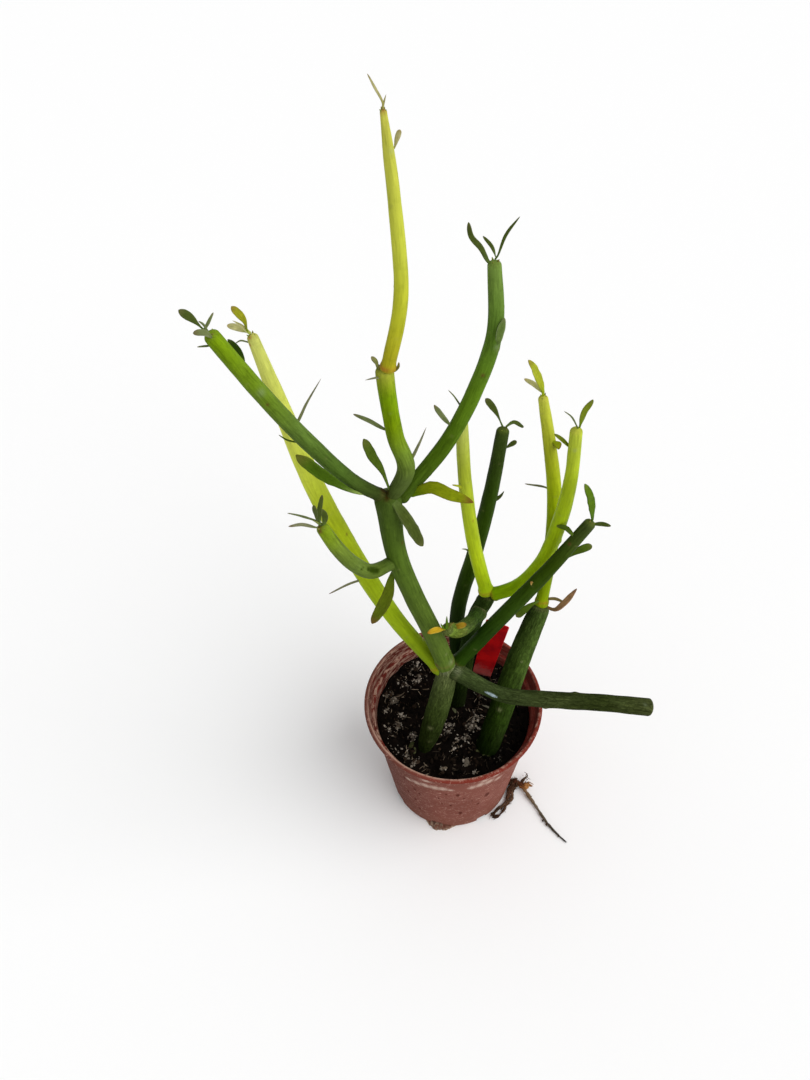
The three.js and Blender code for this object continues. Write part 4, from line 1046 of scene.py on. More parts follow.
# Specks of dirt on its wall: height, angle in degrees, radius.
POT_SPECKS = [
    (52.5, -89, 1.2), (41.6, -64.4, 1.7), (22.9, -85.4, 1.4), (29.8, -124.8, 1.0), (46.8, -123.2, 1.1),
    (35.6, -131.2, 1.1), (36.1, -94, 0.8), (43, -119.5, 0.9), (46, -103.5, 0.7), (54.6, -131.6, 1.0),
    (30, -145.4, 1.1), (21.2, -141, 1.1), (53.5, -97.8, 0.7), (17, -122.5, 1.0), (32, -70.8, 0.9),
    (46.5, -84, 0.6), (40, -77, 0.5), (38, -101, 0.5), (48, 40, 1.6), (33, 112, 1.4), (56, 170, 1.3),
]


def pot_marks(points):
    """Masks at the pot's corners: inside, lip, its inner edge, and soft ovals for scuffs at their angles and
    heights. Inside is whatever is nearer the axis than the middle of the plastic at its height."""
    x, y, z = points.T
    radius, angle = np.hypot(x, y), np.arctan2(y, x)
    band = 42.35 + 0.9 * (z - 71.4) / 6.2
    middle = np.where(z < BAND_FOOT, wall_radius(z) - WALL / 2, np.where(z < BAND_TOP, band, 43.3))
    inside = ((radius < middle) & (z > 1)).astype(float)
    masks = {"inside": inside, "lip": ease(77.2, 78.2, z) * (1 - 0.6 * inside),
             "rim": np.exp(-((radius - RIM_RADIUS) / 0.7) ** 2) * ease(78.8, 79.5, z)}
    total = np.zeros(len(points))
    for height, turn, wide, high in POT_SCUFFS:
        off = turned_from(angle, math.radians(turn))
        total = np.maximum(total, np.exp(-(off * radius / wide) ** 2 - ((z - height) / high) ** 2))
    masks["scuff"] = total * (1 - inside)
    return masks


def nearest_speck(tree, place):
    """The distance to the closest speck of dirt, as a share of its own radius; they are taller than they are wide."""
    nearest, squash = 9.0, 0.5
    flat = stretched(tree, place, (1.0, 1.0, squash))
    for height, turn, size in POT_SPECKS:
        radius, angle = wall_radius(height), math.radians(turn)
        spot = (radius * math.cos(angle), radius * math.sin(angle), height * squash)
        away = put(tree, "VectorMath", {0: flat, 1: spot}, operation="DISTANCE").outputs["Value"]
        nearest = reckon(tree, "MINIMUM", reckon(tree, "DIVIDE", away, size), nearest)
    return nearest


def pot_material(outside, lip, lime):
    """Moulded plastic: a dull brick outside with scuffs and dirt specks, darkened towards the left by painted shade,
    a redder lip whose rim line is partly wear and partly a painted highlight, and a dark inside with lime that
    thickens towards the left as painted light."""
    made, tree, shader = new_material("terracotta plastic", Specular_IOR_Level=0.01, Specular_Tint=(1, 0.62, 0.5, 1))
    place = in_millimetres(tree)
    inside, on_lip, rim, scuff = (mark_of(tree, name) for name in ("inside", "lip", "rim", "scuff"))
    across, back, up = put(tree, "SeparateXYZ", {0: place}).outputs
    # the rim's pale line, stronger at the front: partly wear, partly a painted highlight
    rim = times(tree, rim, stepped(tree, back, 8, -24, 0.25, 1.0))
    fade = cloudy(tree, place, 0.045, 4.0, 0.6)
    smudge = cloudy(tree, stretched(tree, place, (0.5, 0.5, 1.0)), 0.5, 5.0, 0.7, 0.6)
    # painted shade: the outside wall darkens towards the left, away from the light
    dull = layered(
        tree, tuple(outside), (stepped(tree, fade, 0.35, 0.65), solid(117, 67, 56)), (on_lip, tuple(lip)),
        (stepped(tree, across, -6, -36, 0.0, 0.75), solid(82, 46, 38)),
        (stepped(tree, smudge, 0.58, 0.74, 0.0, 0.4), solid(86, 38, 30)),
        (stepped(tree, up, 22, 0, 0, 0.3), solid(124, 84, 68)))
    streak = cloudy(tree, stretched(tree, place, (0.2, 0.2, 1.3)), 0.9, 5.0, 0.7, 0.5)
    within = tinted(tree, stepped(tree, fade, 0.3, 0.7), solid(116, 44, 36), solid(78, 30, 25))
    # lime inside, thickening towards the left wall that the light falls on: partly real lime, partly painted light
    lit_side_film = times(tree, stepped(tree, streak, 0.45, 0.58), stepped(tree, across, 42, -18, 0.1, 0.95))
    within = tinted(tree, lit_side_film, within, tuple(lime))
    colour = tinted(tree, inside, dull, within)
    ragged = cloudy(tree, stretched(tree, place, (0.35, 0.35, 1.7)), 1.7, 6.0, 0.85, 1.0)
    worn = stepped(tree, reckon(tree, "MULTIPLY_ADD", ragged, 2.6, scuff), 1.6, 2.5)
    worn = times(tree, worn, stepped(tree, scuff, 0.05, 0.4))
    colour = tinted(tree, times(tree, worn, 0.8), colour, solid(206, 182, 166))
    patchy = cloudy(tree, place, 0.3, 5.0, 0.75)
    left = stepped(tree, across, 20, -34, 0.0, 0.2)
    worn_and_lit_lip = reckon(tree, "MAXIMUM", rim, times(tree, on_lip, stepped(tree, left, 0.05, 0.2, 0.02, 0.07)))
    dust_and_highlight = times(tree, stepped(tree, reckon(tree, "ADD", patchy, left), 0.46, 0.62), worn_and_lit_lip)
    colour = tinted(tree, times(tree, dust_and_highlight, 0.9), colour, solid(188, 152, 134))
    wander = cloudy(tree, stretched(tree, place, (1.0, 1.0, 1.4)), 0.16, 3.0, 0.6, 1.6)
    line = reckon(tree, "ABSOLUTE", reckon(tree, "SUBTRACT", wander, 0.5))
    line = times(tree, stepped(tree, line, 0.016, 0.004), stepped(tree, smudge, 0.42, 0.56, 0.0, 0.7))
    line = times(tree, line, stepped(tree, inside, 0.5, 0.0))
    colour = tinted(tree, line, colour, solid(190, 150, 136))
    film = use_group(tree, dust_group(), Place=place, Colour=colour, Dust_colour=solid(150, 96, 80),
                     Amount=0.16, Cloud_size=6.0, Clean=0.5, Dusty=0.75)
    edge = reckon(tree, "MULTIPLY_ADD", cloudy(tree, place, 2.0, 5.0, 0.8, 1.0), 1.5, nearest_speck(tree, place))
    dirt = stepped(tree, edge, 1.72, 1.36, 0.0, 0.9)
    colour = tinted(tree, dirt, film["Colour"], solid(78, 30, 18))
    scratch = cloudy(tree, stretched(tree, place, (1.0, 1.0, 0.12)), 1.6, 2.0, 0.5, 1.0)
    surface(tree, shader, colour, film["Roughness"], reckon(tree, "MULTIPLY_ADD", lit_side_film, 0.6, scratch), 0.08)
    return made


# ---------------------------------------------------------------- soil


STEM_BASES = {"front_trunk": 29.0, "middle_trunk": 29.0, "right_trunk": 31.0}  # how far along they leave the peat
STEM_CLEARANCE, LITTER_EDGE = 6.2, 37.4  # litter keeps this far from a stem's middle, and this near the pot's
TOP_RADIUS = wall_radius(66.0)  # of the wall where the peat meets it
PEAT_DARK = (10, 7, 5)


def soil_height(x, y):
    """The soil's height: the level of the part's source plus its two slow waves."""
    return SOIL_LEVEL + 1.3 * (0.6 * np.sin(x / 5 + 1) * np.cos(y / 6) + 0.4 * np.sin(x / 2.7 + y / 3.1))


def soil_skin(lumps, rows=112, sides=280):
    """A filled cup: a flat floor, a tapered side and a top of rings from the wall to the middle, raised by four
    layers of noise."""
    below = np.array([14.0, 26.0, wall_radius(4) - 2.2, wall_radius(20) - 1.6, wall_radius(45) - 1.6])
    low = np.array([3.8, 3.8, 4.2, 20, 45])
    top = (TOP_RADIUS - 1.45) * (1 - np.linspace(0, 1, rows + 1)[:-1])
    angle = round_about(sides)
    radius = np.concatenate([below, top])[:, None]
    flat = polar(radius, angle, 0)
    rough = (0.9 * noise(flat, 5.0, 3) + 0.6 * noise(flat, 2.2, 4) + 0.34 * noise(flat, 1.0, 5)
             + 0.2 * noise(flat, 0.55, 6))
    heap = soil_height(flat[..., 0], flat[..., 1]) + lumps * rough
    heap[:len(low)] = low[:, None]
    heap[len(low)] -= 0.8
    points = polar(radius, angle, heap)
    skin = skins(points[None], np.array([[[0, 0, low[0]], [0, 0, soil_height(0.0, 0.0)]]]))
    shade = 0.5 + 0.5 * rough_noise(skin[0], 3.0, 8)
    return skin, {"tint": blend(paint(PEAT_DARK), paint((32, 23, 18)), shade ** 2 * 0.8)}


def ball(rows, sides):
    """A unit ball's rings, from its north pole to its south pole, and the two poles."""
    down = (np.arange(rows) + 1) * np.pi / (rows + 1)
    ring = polar(np.sin(down)[:, None], -round_about(sides), np.cos(down)[:, None])
    return ring, np.array([[0.0, 0, 1], [0, 0, -1]])


def turns(chance, count, tilt):
    """Random turns: about the upright axis by any angle, and over by up to the tilt."""
    a, b = chance.uniform(0, 2 * np.pi, count), chance.uniform(-tilt, tilt, count)
    ca, sa, cb, sb, one, none = np.cos(a), np.sin(a), np.cos(b), np.sin(b), np.ones(count), np.zeros(count)
    about = np.stack([ca, -sa, none, sa, ca, none, none, none, one], -1).reshape(-1, 3, 3)
    over = np.stack([cb, none, sb, none, one, none, -sb, none, cb], -1).reshape(-1, 3, 3)
    return about @ over


def scraps(chance, places, sizes, tilt, bend, rough, colours, rows=4, sides=6):
    """Many small lumps in one skin: a ball's rings pushed in and out by chance, stretched by their sizes, bent
    upwards by the square of the way from the middle, turned, and set down at their places."""
    ring, pole = ball(rows, sides)
    count = len(places)
    push = 1 + rough * chance.uniform(-1, 1, (count, rows, sides, 1))
    turn = turns(chance, count, tilt)
    curl = bend * chance.uniform(-1, 1, count)

    def lay(points):
        shape = (count,) + (1,) * (points.ndim - 2)
        points = points * sizes.reshape(*shape, 3)
        rise = curl.reshape(shape) * points[..., 0] ** 2 / np.maximum(sizes[:, 0].reshape(shape), 0.1)
        points = np.concatenate([points[..., :1], points[..., 1:2] + rise[..., None] * 0.6,
                                 points[..., 2:] + np.abs(rise)[..., None] * 0.4], -1)
        points = np.einsum("nij,n...j->n...i", turn, points)
        return points + places.reshape(*shape, 3)

    rings, poles = lay(ring[None] * push), lay(np.broadcast_to(pole, (count, 2, 3)))
    tint = np.broadcast_to(colours[:, None, None], rings.shape)
    return skins(rings, poles), on_corners(tint, np.broadcast_to(colours[:, None], poles.shape))


def joined(parts):
    """Several skins with their marks as one."""
    points, quads, tris, marks, shift = [], [], [], [], 0
    for (corners, four, three), mark in parts:
        points.append(corners)
        quads.append(four + shift)
        tris.append(three + shift)
        marks.append(mark)
        shift += len(corners)
    return (np.concatenate(points), np.concatenate(quads), np.concatenate(tris)), np.concatenate(marks)


# Heaps of pale grit: middle on the soil, how wide a heap lies and its share of the grains.
GRIT_HEAPS = [
    (-2.8, -9, 3.4, 70), (9.2, -8.5, 2.6, 44), (6.3, -14.1, 2.4, 26), (1.8, -15.2, 1.4, 12), (-28.2, -7.2, 2.0, 26),
    (-26.3, -1, 1.8, 18), (-23.7, 17.2, 2.6, 24), (-20.9, -12.7, 2.2, 20), (-17, 20, 4.0, 20), (12, -3, 2.6, 16),
    (-6, -30.9, 1.8, 8), (-20.8, -27.4, 2.4, 10), (8.2, -33.5, 1.6, 6), (-30, 8, 3.0, 18), (22, -26, 3, 8),
    (20, 22, 5.0, 14), (-4, 28, 5.0, 16), (28, 8, 4.0, 10), (-32.2, -18.9, 4, 14), (-34, 12.2, 3, 8),
    (-20.2, 26.9, 5, 14), (-35, 2, 2.6, 8), (-24.5, -23.5, 4, 14), (-33, -8.1, 3, 10), (-0.3, -20.1, 3, 8),
    (13.2, -19.5, 2.4, 10), (4.9, -29.2, 2.6, 8),
]
GRAINS_PER_SHARE = 2.8
LONG_SCRAPS = [  # middle on the soil, length, width, colour
    (5.4, -28.3, 2.7, 1.2, (104, 96, 84)), (-6, -30.9, 2.0, 0.8, (118, 104, 88)),
    (-0.8, -20.3, 2.2, 0.45, (122, 110, 94)), (14.3, -19, 2.2, 1.3, (58, 56, 34)), (3.2, 9, 3.4, 0.7, (84, 82, 70)),
    (5.7, 6, 3.0, 0.6, (92, 90, 78)), (14.1, 8.6, 4.2, 0.7, (86, 84, 72)), (18.4, 2.5, 3.4, 0.6, (98, 94, 80)),
    (1.2, 0.2, 2.2, 0.8, (90, 92, 66)), (-22, -20, 2.6, 0.4, (96, 78, 58)), (-12, 14, 3.0, 0.4, (90, 76, 60)),
    (-27, 11, 3.0, 0.35, (100, 88, 74)), (26, -14, 2.4, 0.5, (70, 58, 46)), (-21.6, -17.2, 2.4, 1.1, (58, 62, 34)),
    (-20.4, -20.6, 1.8, 0.9, (74, 76, 48)), (12.2, -17.8, 2.0, 0.7, (92, 94, 60)),
    (12.6, -21.6, 2.6, 0.9, (84, 86, 54)), (15.4, -24.6, 2.2, 0.8, (62, 66, 38)),
    (-1.6, 3.6, 2.2, 0.9, (66, 72, 44)),
]


def soil_litter(crumbs, shreds, seed=5):
    """Crumbs of peat, heaps of pale grit, thin shreds and a few long scraps, lying on the soil and clear of the
    stems."""
    chance = np.random.default_rng(seed)
    reach = (TOP_RADIUS - 2.6) * np.sqrt(chance.uniform(0, 1, crumbs))
    angle = chance.uniform(0, 2 * np.pi, crumbs)
    x, y = reach * np.cos(angle), reach * np.sin(angle)
    size = 0.32 + 1.15 * chance.uniform(0, 1, crumbs) ** 4
    sizes = size[:, None] * chance.uniform(0.6, 1.3, (crumbs, 3))
    shade = chance.uniform(0, 1, crumbs) ** 3
    colours = blend(paint(PEAT_DARK), paint((58, 45, 35)), shade)
    places = [(x, y, sizes, colours, 0.2 * size)]

    heaps = np.array(GRIT_HEAPS)
    owner = np.repeat(np.arange(len(heaps)), (heaps[:, 3] * GRAINS_PER_SHARE).astype(int))
    count = len(owner)
    out = heaps[owner, 2] * np.abs(chance.normal(0, 0.72, count))
    turn = chance.uniform(0, 2 * np.pi, count)
    size = 0.16 + 0.5 * chance.uniform(0, 1, count) ** 2.8
    shade = chance.uniform(0, 1, count)
    colours = blend(paint((84, 74, 62)), paint((188, 178, 164)), shade ** 1.8)
    places.append((heaps[owner, 0] + out * np.cos(turn), heaps[owner, 1] + out * np.sin(turn),
                   size[:, None] * chance.uniform(0.5, 1.6, (count, 3)) * (1.3, 1, 0.7), colours, 0.3 + 0.2 * size))

    reach = (TOP_RADIUS - 3.4) * np.sqrt(chance.uniform(0, 1, shreds))
    angle = chance.uniform(0, 2 * np.pi, shreds)
    long = chance.uniform(0.8, 2.4, shreds)
    shade = chance.uniform(0, 1, shreds) ** 2
    colours = blend(paint((40, 30, 22)), paint((150, 134, 114)), shade)
    places.append((reach * np.cos(angle), reach * np.sin(angle),
                   np.stack([long, chance.uniform(0.09, 0.3, shreds), chance.uniform(0.08, 0.2, shreds)], -1),
                   colours, 0.25 + 0 * long))

    parts = []
    feet = np.array([along(trace(STEMS[name]["path"]), [reach])[0][0] for name, reach in STEM_BASES.items()])
    for k, (x, y, sizes, colours, lift) in enumerate(places):
        from_stem = np.hypot(x[:, None] - feet[:, 0], y[:, None] - feet[:, 1]).min(1)
        clear = (from_stem > STEM_CLEARANCE) & (np.hypot(x, y) < LITTER_EDGE)
        spot = np.stack([x, y, soil_height(x, y) + lift], -1)[clear]
        colours = colours * (1 - 0.65 * ease(14, 26, x - 0.3 * y))[:, None]  # painted shade: darker towards the front right
        tilt, bend = ((0.5, 0.0), (0.6, 0.0), (0.35, 0.9))[k]
        parts.append(scraps(chance, spot, sizes[clear], tilt, bend, 0.24 if k < 2 else 0.1, colours[clear]))
    for x, y, long, wide, colour in LONG_SCRAPS:
        spot = np.array([[x, y, soil_height(x, y) + 0.5]])
        parts.append(scraps(chance, spot, np.array([[long, wide, wide * 0.4]]), 0.3, 0.35, 0.12,
                            paint(colour)[None], rows=9, sides=10))
    return joined(parts)


def earth_material(name, dust, amount, depth):
    """Peat, grit or dried soil: the piece's own tint with clouds of dust over it and a crumbly relief."""
    found = bpy.data.materials.get(name)
    if found:
        return found
    made, tree, shader = new_material(name, Specular_IOR_Level=0.04)
    place = in_millimetres(tree)
    fine = cloudy(tree, place, 1.4, 5.0, 0.7)
    tint = mark_of(tree, "tint", "Color")
    dark = tinted(tree, 1.0, tint, (0.3, 0.28, 0.26, 1), "MULTIPLY")
    colour = tinted(tree, stepped(tree, fine, 0.62, 0.3, 0.0, 0.75), tint, dark)
    film = use_group(tree, dust_group(), Place=place, Colour=colour, Dust_colour=dust, Amount=amount, Cloud_size=1.6,
                     Clean=0.88, Dusty=0.97)
    height = reckon(tree, "MULTIPLY_ADD", film["Dust"], 0.4, fine)
    surface(tree, shader, film["Colour"], film["Roughness"], height, depth)
    return made


# ---------------------------------------------------------------- label, root and crust


LABEL_FOOT = np.array([16.5, 22.5, SOIL_LEVEL])  # where its middle line comes out of the soil
LABEL_UP, LABEL_ACROSS = np.array([6, -1.5, 50.0]), np.array([10.6, -4, -1.2])
LABEL_LOW, LABEL_TOP = -26, 50.0  # its ends, counted from the soil
LABEL_HALF_WIDTHS, LABEL_HALF_THICK = [2.5, 4.8, 6.0], 0.45  # half widths at point, soil and top


def label_skin(bow, corner, sides=40):
    """A thin plate: at each height a flat oval with square shoulders, as wide as the label is there, bowed across
    its face by a half wave and rounded at its top corners by a quarter circle."""
    up = unit(LABEL_UP)
    across = unit(LABEL_ACROSS - up * (LABEL_ACROSS @ up))
    face = np.cross(across, up)
    rounding = LABEL_TOP - corner * (1 - np.sin(np.linspace(0.15, 1, 7) * np.pi / 2))[:-1]
    high = np.unique(np.concatenate([[LABEL_LOW, LABEL_LOW + 0.1], np.linspace(-25.4, 48.6, 90), rounding,
                                     [49.9, LABEL_TOP]]))
    half = np.interp(high, [LABEL_LOW, 0, LABEL_TOP], LABEL_HALF_WIDTHS)
    over = np.clip(1 - (LABEL_TOP - high) / corner, 0, 1)
    half = half - corner * (1 - np.sqrt(1 - over ** 2 * 0.98)) * 0.85
    thick = LABEL_HALF_THICK * np.where((high > LABEL_TOP - 0.15) | (high < LABEL_LOW + 0.15), 0.55, 1.0)
    angle = round_about(sides)
    cos, sin = np.cos(angle), np.sin(angle)
    flat = np.sign(cos) * np.abs(cos) ** 0.7, np.sign(sin) * np.abs(sin) ** 0.22
    bend = bow * np.sin((high - LABEL_LOW) / (LABEL_TOP - LABEL_LOW) * np.pi)
    middle = LABEL_FOOT + high[:, None] * up + bend[:, None] * face
    points = (middle[:, None] + (half[:, None] * flat[0])[..., None] * across
              + (thick[:, None] * flat[1])[..., None] * -face)
    grain = spread(half[:, None] * flat[0], flat[1], high[:, None])
    pole_grain = spread(0, 0, high[[0, -1]])
    return skins(points[None], middle[None, [0, -1]]), {"grain": on_corners(grain[None], pole_grain[None])}


def label_material(red):
    """Red plastic, glossy above, with fine scratches, pale worn clouds and a dirty film where it comes out of the
    soil."""
    made, tree, shader = new_material("red label plastic", Specular_IOR_Level=0.06, Specular_Tint=(1, 0.5, 0.5, 1))
    grain = mark_of(tree, "grain", "Vector")
    parts = put(tree, "SeparateXYZ", {0: grain}).outputs
    fade = cloudy(tree, grain, 0.08, 3.0)
    colour = tinted(tree, stepped(tree, fade, 0.35, 0.7), tuple(red), solid(150, 14, 26))
    low = stepped(tree, parts[2], 17.0, 1.5)
    dirty = cloudy(tree, stretched(tree, grain, (1.0, 1.0, 0.6)), 0.55, 6.0, 0.72, 0.5)
    film = times(tree, stepped(tree, reckon(tree, "MULTIPLY_ADD", low, 0.34, dirty), 0.58, 0.78),
                 reckon(tree, "MULTIPLY_ADD", low, 0.42, 0.05))
    colour = tinted(tree, film, colour, solid(172, 128, 120))
    dark = stepped(tree, parts[2], 4.0, 0.0, 0.0, 0.7)
    colour = tinted(tree, dark, colour, solid(70, 20, 18))
    worn = use_group(tree, dust_group(), Place=grain, Colour=colour, Dust_colour=solid(196, 96, 92), Amount=0.1,
                     Cloud_size=5.0, Clean=0.34, Dusty=0.6)
    rough = reckon(tree, "MULTIPLY_ADD", film, 0.35, worn["Roughness"], clamp=True)
    scratch = cloudy(tree, stretched(tree, grain, (3.0, 1.0, 0.15)), 1.2, 3.0, 0.6, 0.4)
    surface(tree, shader, worn["Colour"], rough, reckon(tree, "MULTIPLY_ADD", film, 0.8, scratch), 0.03)
    return made


ABOVE_TABLE = 0.02  # the root lies this far clear of the table


def lifted(points, low):
    """Points of which none lies lower than a height above the table."""
    return np.maximum(points, (-np.inf, -np.inf, low))


def closing(share, part=0.06):
    """A round end's share of the radius: the root of 1 - (1 - share / part)^2 over the first part of a strand."""
    return np.sqrt(np.clip(1 - np.clip(1 - share / part, 0, 1) ** 2, 0.05, 1))


def strand(path, wide, sides, step, knots, seed, colours):
    """A root's strand: rings along its line with a rough radius, thinning to its end, and knots by noise."""
    line = trace(path)
    reach = np.linspace(0, line[1][-1], max(8, int(line[1][-1] / step)))
    share = reach / reach[-1]
    centre, tangent = along(line, reach)
    radius = np.interp(share, np.linspace(0, 1, len(wide)), wide) / 2
    radius = radius * (1 + knots * noise(spread(reach, 0, 0), 1.6, seed)) * closing(share) * closing(1 - share)
    points, around, angle = ring_grid(centre, tangent, radius, sides, np.array([0.1, 0.05, 1.0]))
    points = points + around * (radius[:, None] * knots * 0.7 * noise(points, 0.9, seed + 1))[..., None]
    points, ends = lifted(points, ABOVE_TABLE), lifted(line[0][[0, -1]], ABOVE_TABLE)
    tint = paint(even_list(colours, share))[:, None] * (1 + 0.3 * noise(points, 1.2, seed + 2)[..., None])
    mark = np.concatenate([tint, polar(radius[:, None], angle, reach[:, None])], -1)[None]
    return skins(points[None], ends[None]), on_corners(mark, mark[:, [0, -1], 0])


def root_skin(hairs, seed=9):
    """The root's strands with their thin twins, and fine hairs that leave it on short bent lines."""
    chance = np.random.default_rng(seed)
    parts = []
    for k, (path, wide, tones, knots, twins, stray) in enumerate(ROOT_STRANDS):
        parts.append(strand(path, wide, 18, 0.35, knots, seed + k * 3, tones))
        for twin in range(twins):
            shift = chance.normal(0, stray * max(wide), (len(path), 3)) * (1, 1, 0.5)
            shift[0] *= 0.3
            parts.append(strand(lifted(np.array(path) + shift, 0.3), [0.9, 0.6, 0.5, 0.25], 8, 0.5, 0.45,
                                seed + 11 * k + twin, tones))
    for k in range(hairs):
        root = k % len(HAIR_ROOTS)
        start = HAIR_ROOTS[root] + chance.normal(0, 0.7, 3)
        way = unit(chance.normal(0, 1, 3) * (1, 1, 0.8) + (0, 0, 0.35))
        long = chance.uniform(1.2, 3.6) * (1 if root < LONG_HAIRED else 0.6)
        path = [start, start + way * long * 0.5 + chance.normal(0, 0.35, 3),
                start + way * long + chance.normal(0, 0.5, 3)]
        parts.append(strand(lifted(path, 0.15), [0.42, 0.3, 0.12], 5, 0.4, 0.2, seed + 40 + k,
                            [ROOT_BROWN, (104, 80, 62), ROOT_PALE]))
    skin, mark = joined(parts)
    return skin, {"tint": mark[:, :3], "grain": mark[:, 3:]}


CRUST_TURNS = tuple(math.radians(degrees) for degrees in (-85, -106, -120))  # its first end, peak and last end
CRUST_RADIUS, CRUST_HALF_WIDTH, CRUST_HEIGHT = 31.5, 4.0, 3.2


def crust_skin(seed=21, rows=120, sides=48):
    """The dried plug of soil: a low wedge that hugs the pot's foot. Its section is half an oval on the table, as wide
    and high as a bump over the angle allows, shaken by four layers of noise and thinned to nothing at both ends."""
    first, peak, last = CRUST_TURNS
    turn = np.linspace(first, last, rows)[:, None]
    full = np.clip(ease(last, peak, turn) * (1 - ease(peak, first, turn)), 0.02, 1) ** 0.6
    angle = round_about(sides)
    cos, sin = np.cos(angle)[None], np.sin(angle)[None]
    place = spread(turn * 32, cos, sin) * (1, 1.5, 1.5)
    shake = 1 + 0.3 * rough_noise(place, 2.6, seed) + 0.12 * noise(place, 0.7, seed + 4)
    radius = CRUST_RADIUS + CRUST_HALF_WIDTH * full * shake * cos
    height = np.where(sin > 0, CRUST_HEIGHT * full * shake * np.clip(sin, 0, 1) ** 0.8, 0) + 0.03
    points = polar(radius, turn, height)
    skin = skins(points[None], points[[0, -1]].mean(1)[None])
    shade = 0.5 + 0.5 * rough_noise(skin[0], 1.8, seed + 5)
    low = 1 - ease(0.2, 1.4, skin[0][:, 2])
    streaks = ease(0.15, 0.5, noise(skin[0] * (1, 1, 2.2), 1.1, seed + 9))
    pale = np.clip(0.5 * shade ** 2 + 0.5 * low + 0.4 * streaks, 0, 1)
    return skin, blend(paint((100, 54, 42)), paint((186, 164, 142)), pale)


# ---------------------------------------------------------------- settings


def colour_setting(name, description, default):
    """A colour in the sidebar, given as a screen colour."""
    return bpy.props.FloatVectorProperty(name=name, description=description, subtype="COLOR", size=4, min=0, max=1,
                                         default=(*(float(c) for c in paint(default)), 1.0))


def count_setting(name, description, default, high, low=0):
    """A whole number in the sidebar."""
    return bpy.props.IntProperty(name=name, description=description, default=default, min=low, max=high)


def angle_setting(name, description, degrees):
    """An angle in the sidebar, given in degrees."""
    return bpy.props.FloatProperty(name=name, description=description, default=math.radians(degrees), min=0,
                                   max=math.pi, subtype="ANGLE")


def number_setting(name, description, default, low=0):
    """A plain number in the sidebar."""
    return bpy.props.FloatProperty(name=name, description=description, default=default, min=low)


def length_setting(name, description, default):
    """A length in the sidebar, given in millimetres."""
    return bpy.props.FloatProperty(name=name, description=description, default=default * MM, min=0, unit="LENGTH",
                                   subtype="DISTANCE", precision=5)


class EUPHORBIA_PG_pot(bpy.types.PropertyGroup):
    """Sizes and colours of the pot."""
    outside: colour_setting("Outside", "Plastic of the wall", (127, 76, 65))
    lip: colour_setting("Lip", "Plastic of the lip, which is redder", (116, 46, 36))
    lime: colour_setting("Lime", "Dried lime on the inside", (172, 138, 120))
    ridge: length_setting("Ring height", "Height of the fine rings inside the band", 0.1)
    out_of_round: length_setting("Out of round", "How far the rim departs from a circle", 0.15)


class EUPHORBIA_PG_ground(bpy.types.PropertyGroup):
    """Sizes and colours of the soil, the dried crust and the root."""
    dust: colour_setting("Soil dust", "Pale dust on the peat", (92, 76, 62))
    crust_dust: colour_setting("Crust dust", "Pale dust on the dried plug of soil", (168, 150, 132))
    lumps: length_setting("Lumps", "Height of the peat's lumps", 1.0)
    crumbs: count_setting("Crumbs", "Loose crumbs of peat", 1300, 3000)
    shreds: count_setting("Shreds", "Thin fibres on the peat", 330, 1500)
    hairs: count_setting("Root hairs", "Fine hairs on the dried root", 90, 400)


class EUPHORBIA_PG_label(bpy.types.PropertyGroup):
    """Sizes and colour of the plant label."""
    red: colour_setting("Red", "Plastic of the label", (226, 26, 28))
    bow: length_setting("Bow", "How far the label bows between its ends", 0.5)
    corner: length_setting("Corner", "Radius of the top corners", 1.2)


class EUPHORBIA_PG_plant(bpy.types.PropertyGroup):
    """Sizes of the stems and leaves."""
    ring_step: length_setting("Ring step", "Distance between a stem's rings", 0.7)
    sides: count_setting("Sides", "Corners round a stem", 48, 96, low=12)
    bark_relief: length_setting("Bark relief", "Height of the wrinkles on old stems", 0.13)
    green_relief: length_setting("Green relief", "Height of the swellings on young stems", 0.12)
    leaf_thickness: length_setting("Leaf thickness", "Thickness of a leaf at its root", 1.1)
    leaf_roll: angle_setting("Leaf roll", "How far a leaf may turn about its midrib", 24)


class EUPHORBIA_PG_stage(bpy.types.PropertyGroup):
    """The floor, the lights and the camera."""
    floor: colour_setting("Floor", "Colour of the floor", (246, 246, 246))
    sky: number_setting("Sky", "Strength of the light from all round", 0.62)
    key: number_setting("Window light", "Strength of the wide soft light on the right", 2.0)
    width: angle_setting("Window width", "Angle that the window light comes from", 62)
    lens: number_setting("Lens", "Focal length of the camera in millimetres", 33.333, low=10)


class EUPHORBIA_PG_all(bpy.types.PropertyGroup):
    """Everything that can be set."""
    pot: bpy.props.PointerProperty(type=EUPHORBIA_PG_pot, name="Pot", description="Pot")
    ground: bpy.props.PointerProperty(type=EUPHORBIA_PG_ground, name="Soil and root", description="Soil and root")
    label: bpy.props.PointerProperty(type=EUPHORBIA_PG_label, name="Label", description="Label")
    plant: bpy.props.PointerProperty(type=EUPHORBIA_PG_plant, name="Plant", description="Stems and leaves")
    stage: bpy.props.PointerProperty(type=EUPHORBIA_PG_stage, name="Stage", description="Floor, lights and camera")


# ---------------------------------------------------------------- operators


BARK_FINENESS = 1.5  # old stems have this many times the corners of young ones, each way


class EUPHORBIA_OT_stems(bpy.types.Operator):
    """Makes the skin of every stem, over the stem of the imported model"""
    bl_idname = "euphorbia.stems"
    bl_label = "Stems"
    bl_options = {"REGISTER", "UNDO"}

    def execute(self, context):
        plant = context.scene.euphorbia.plant
        for k, (name, stem) in enumerate(STEMS.items()):
            bark = stem["skin"] == "bark"
            relief, fine = (plant.bark_relief, BARK_FINENESS) if bark else (plant.green_relief, 1.0)
            skin, marks = stem_skin(name, int(plant.sides * fine), plant.ring_step * 1000 / fine, relief * 1000,
                                    k + 1)
            make_piece(name + "_skin", skin, skin_finish(stem["skin"]), name, marks)
        return {"FINISHED"}


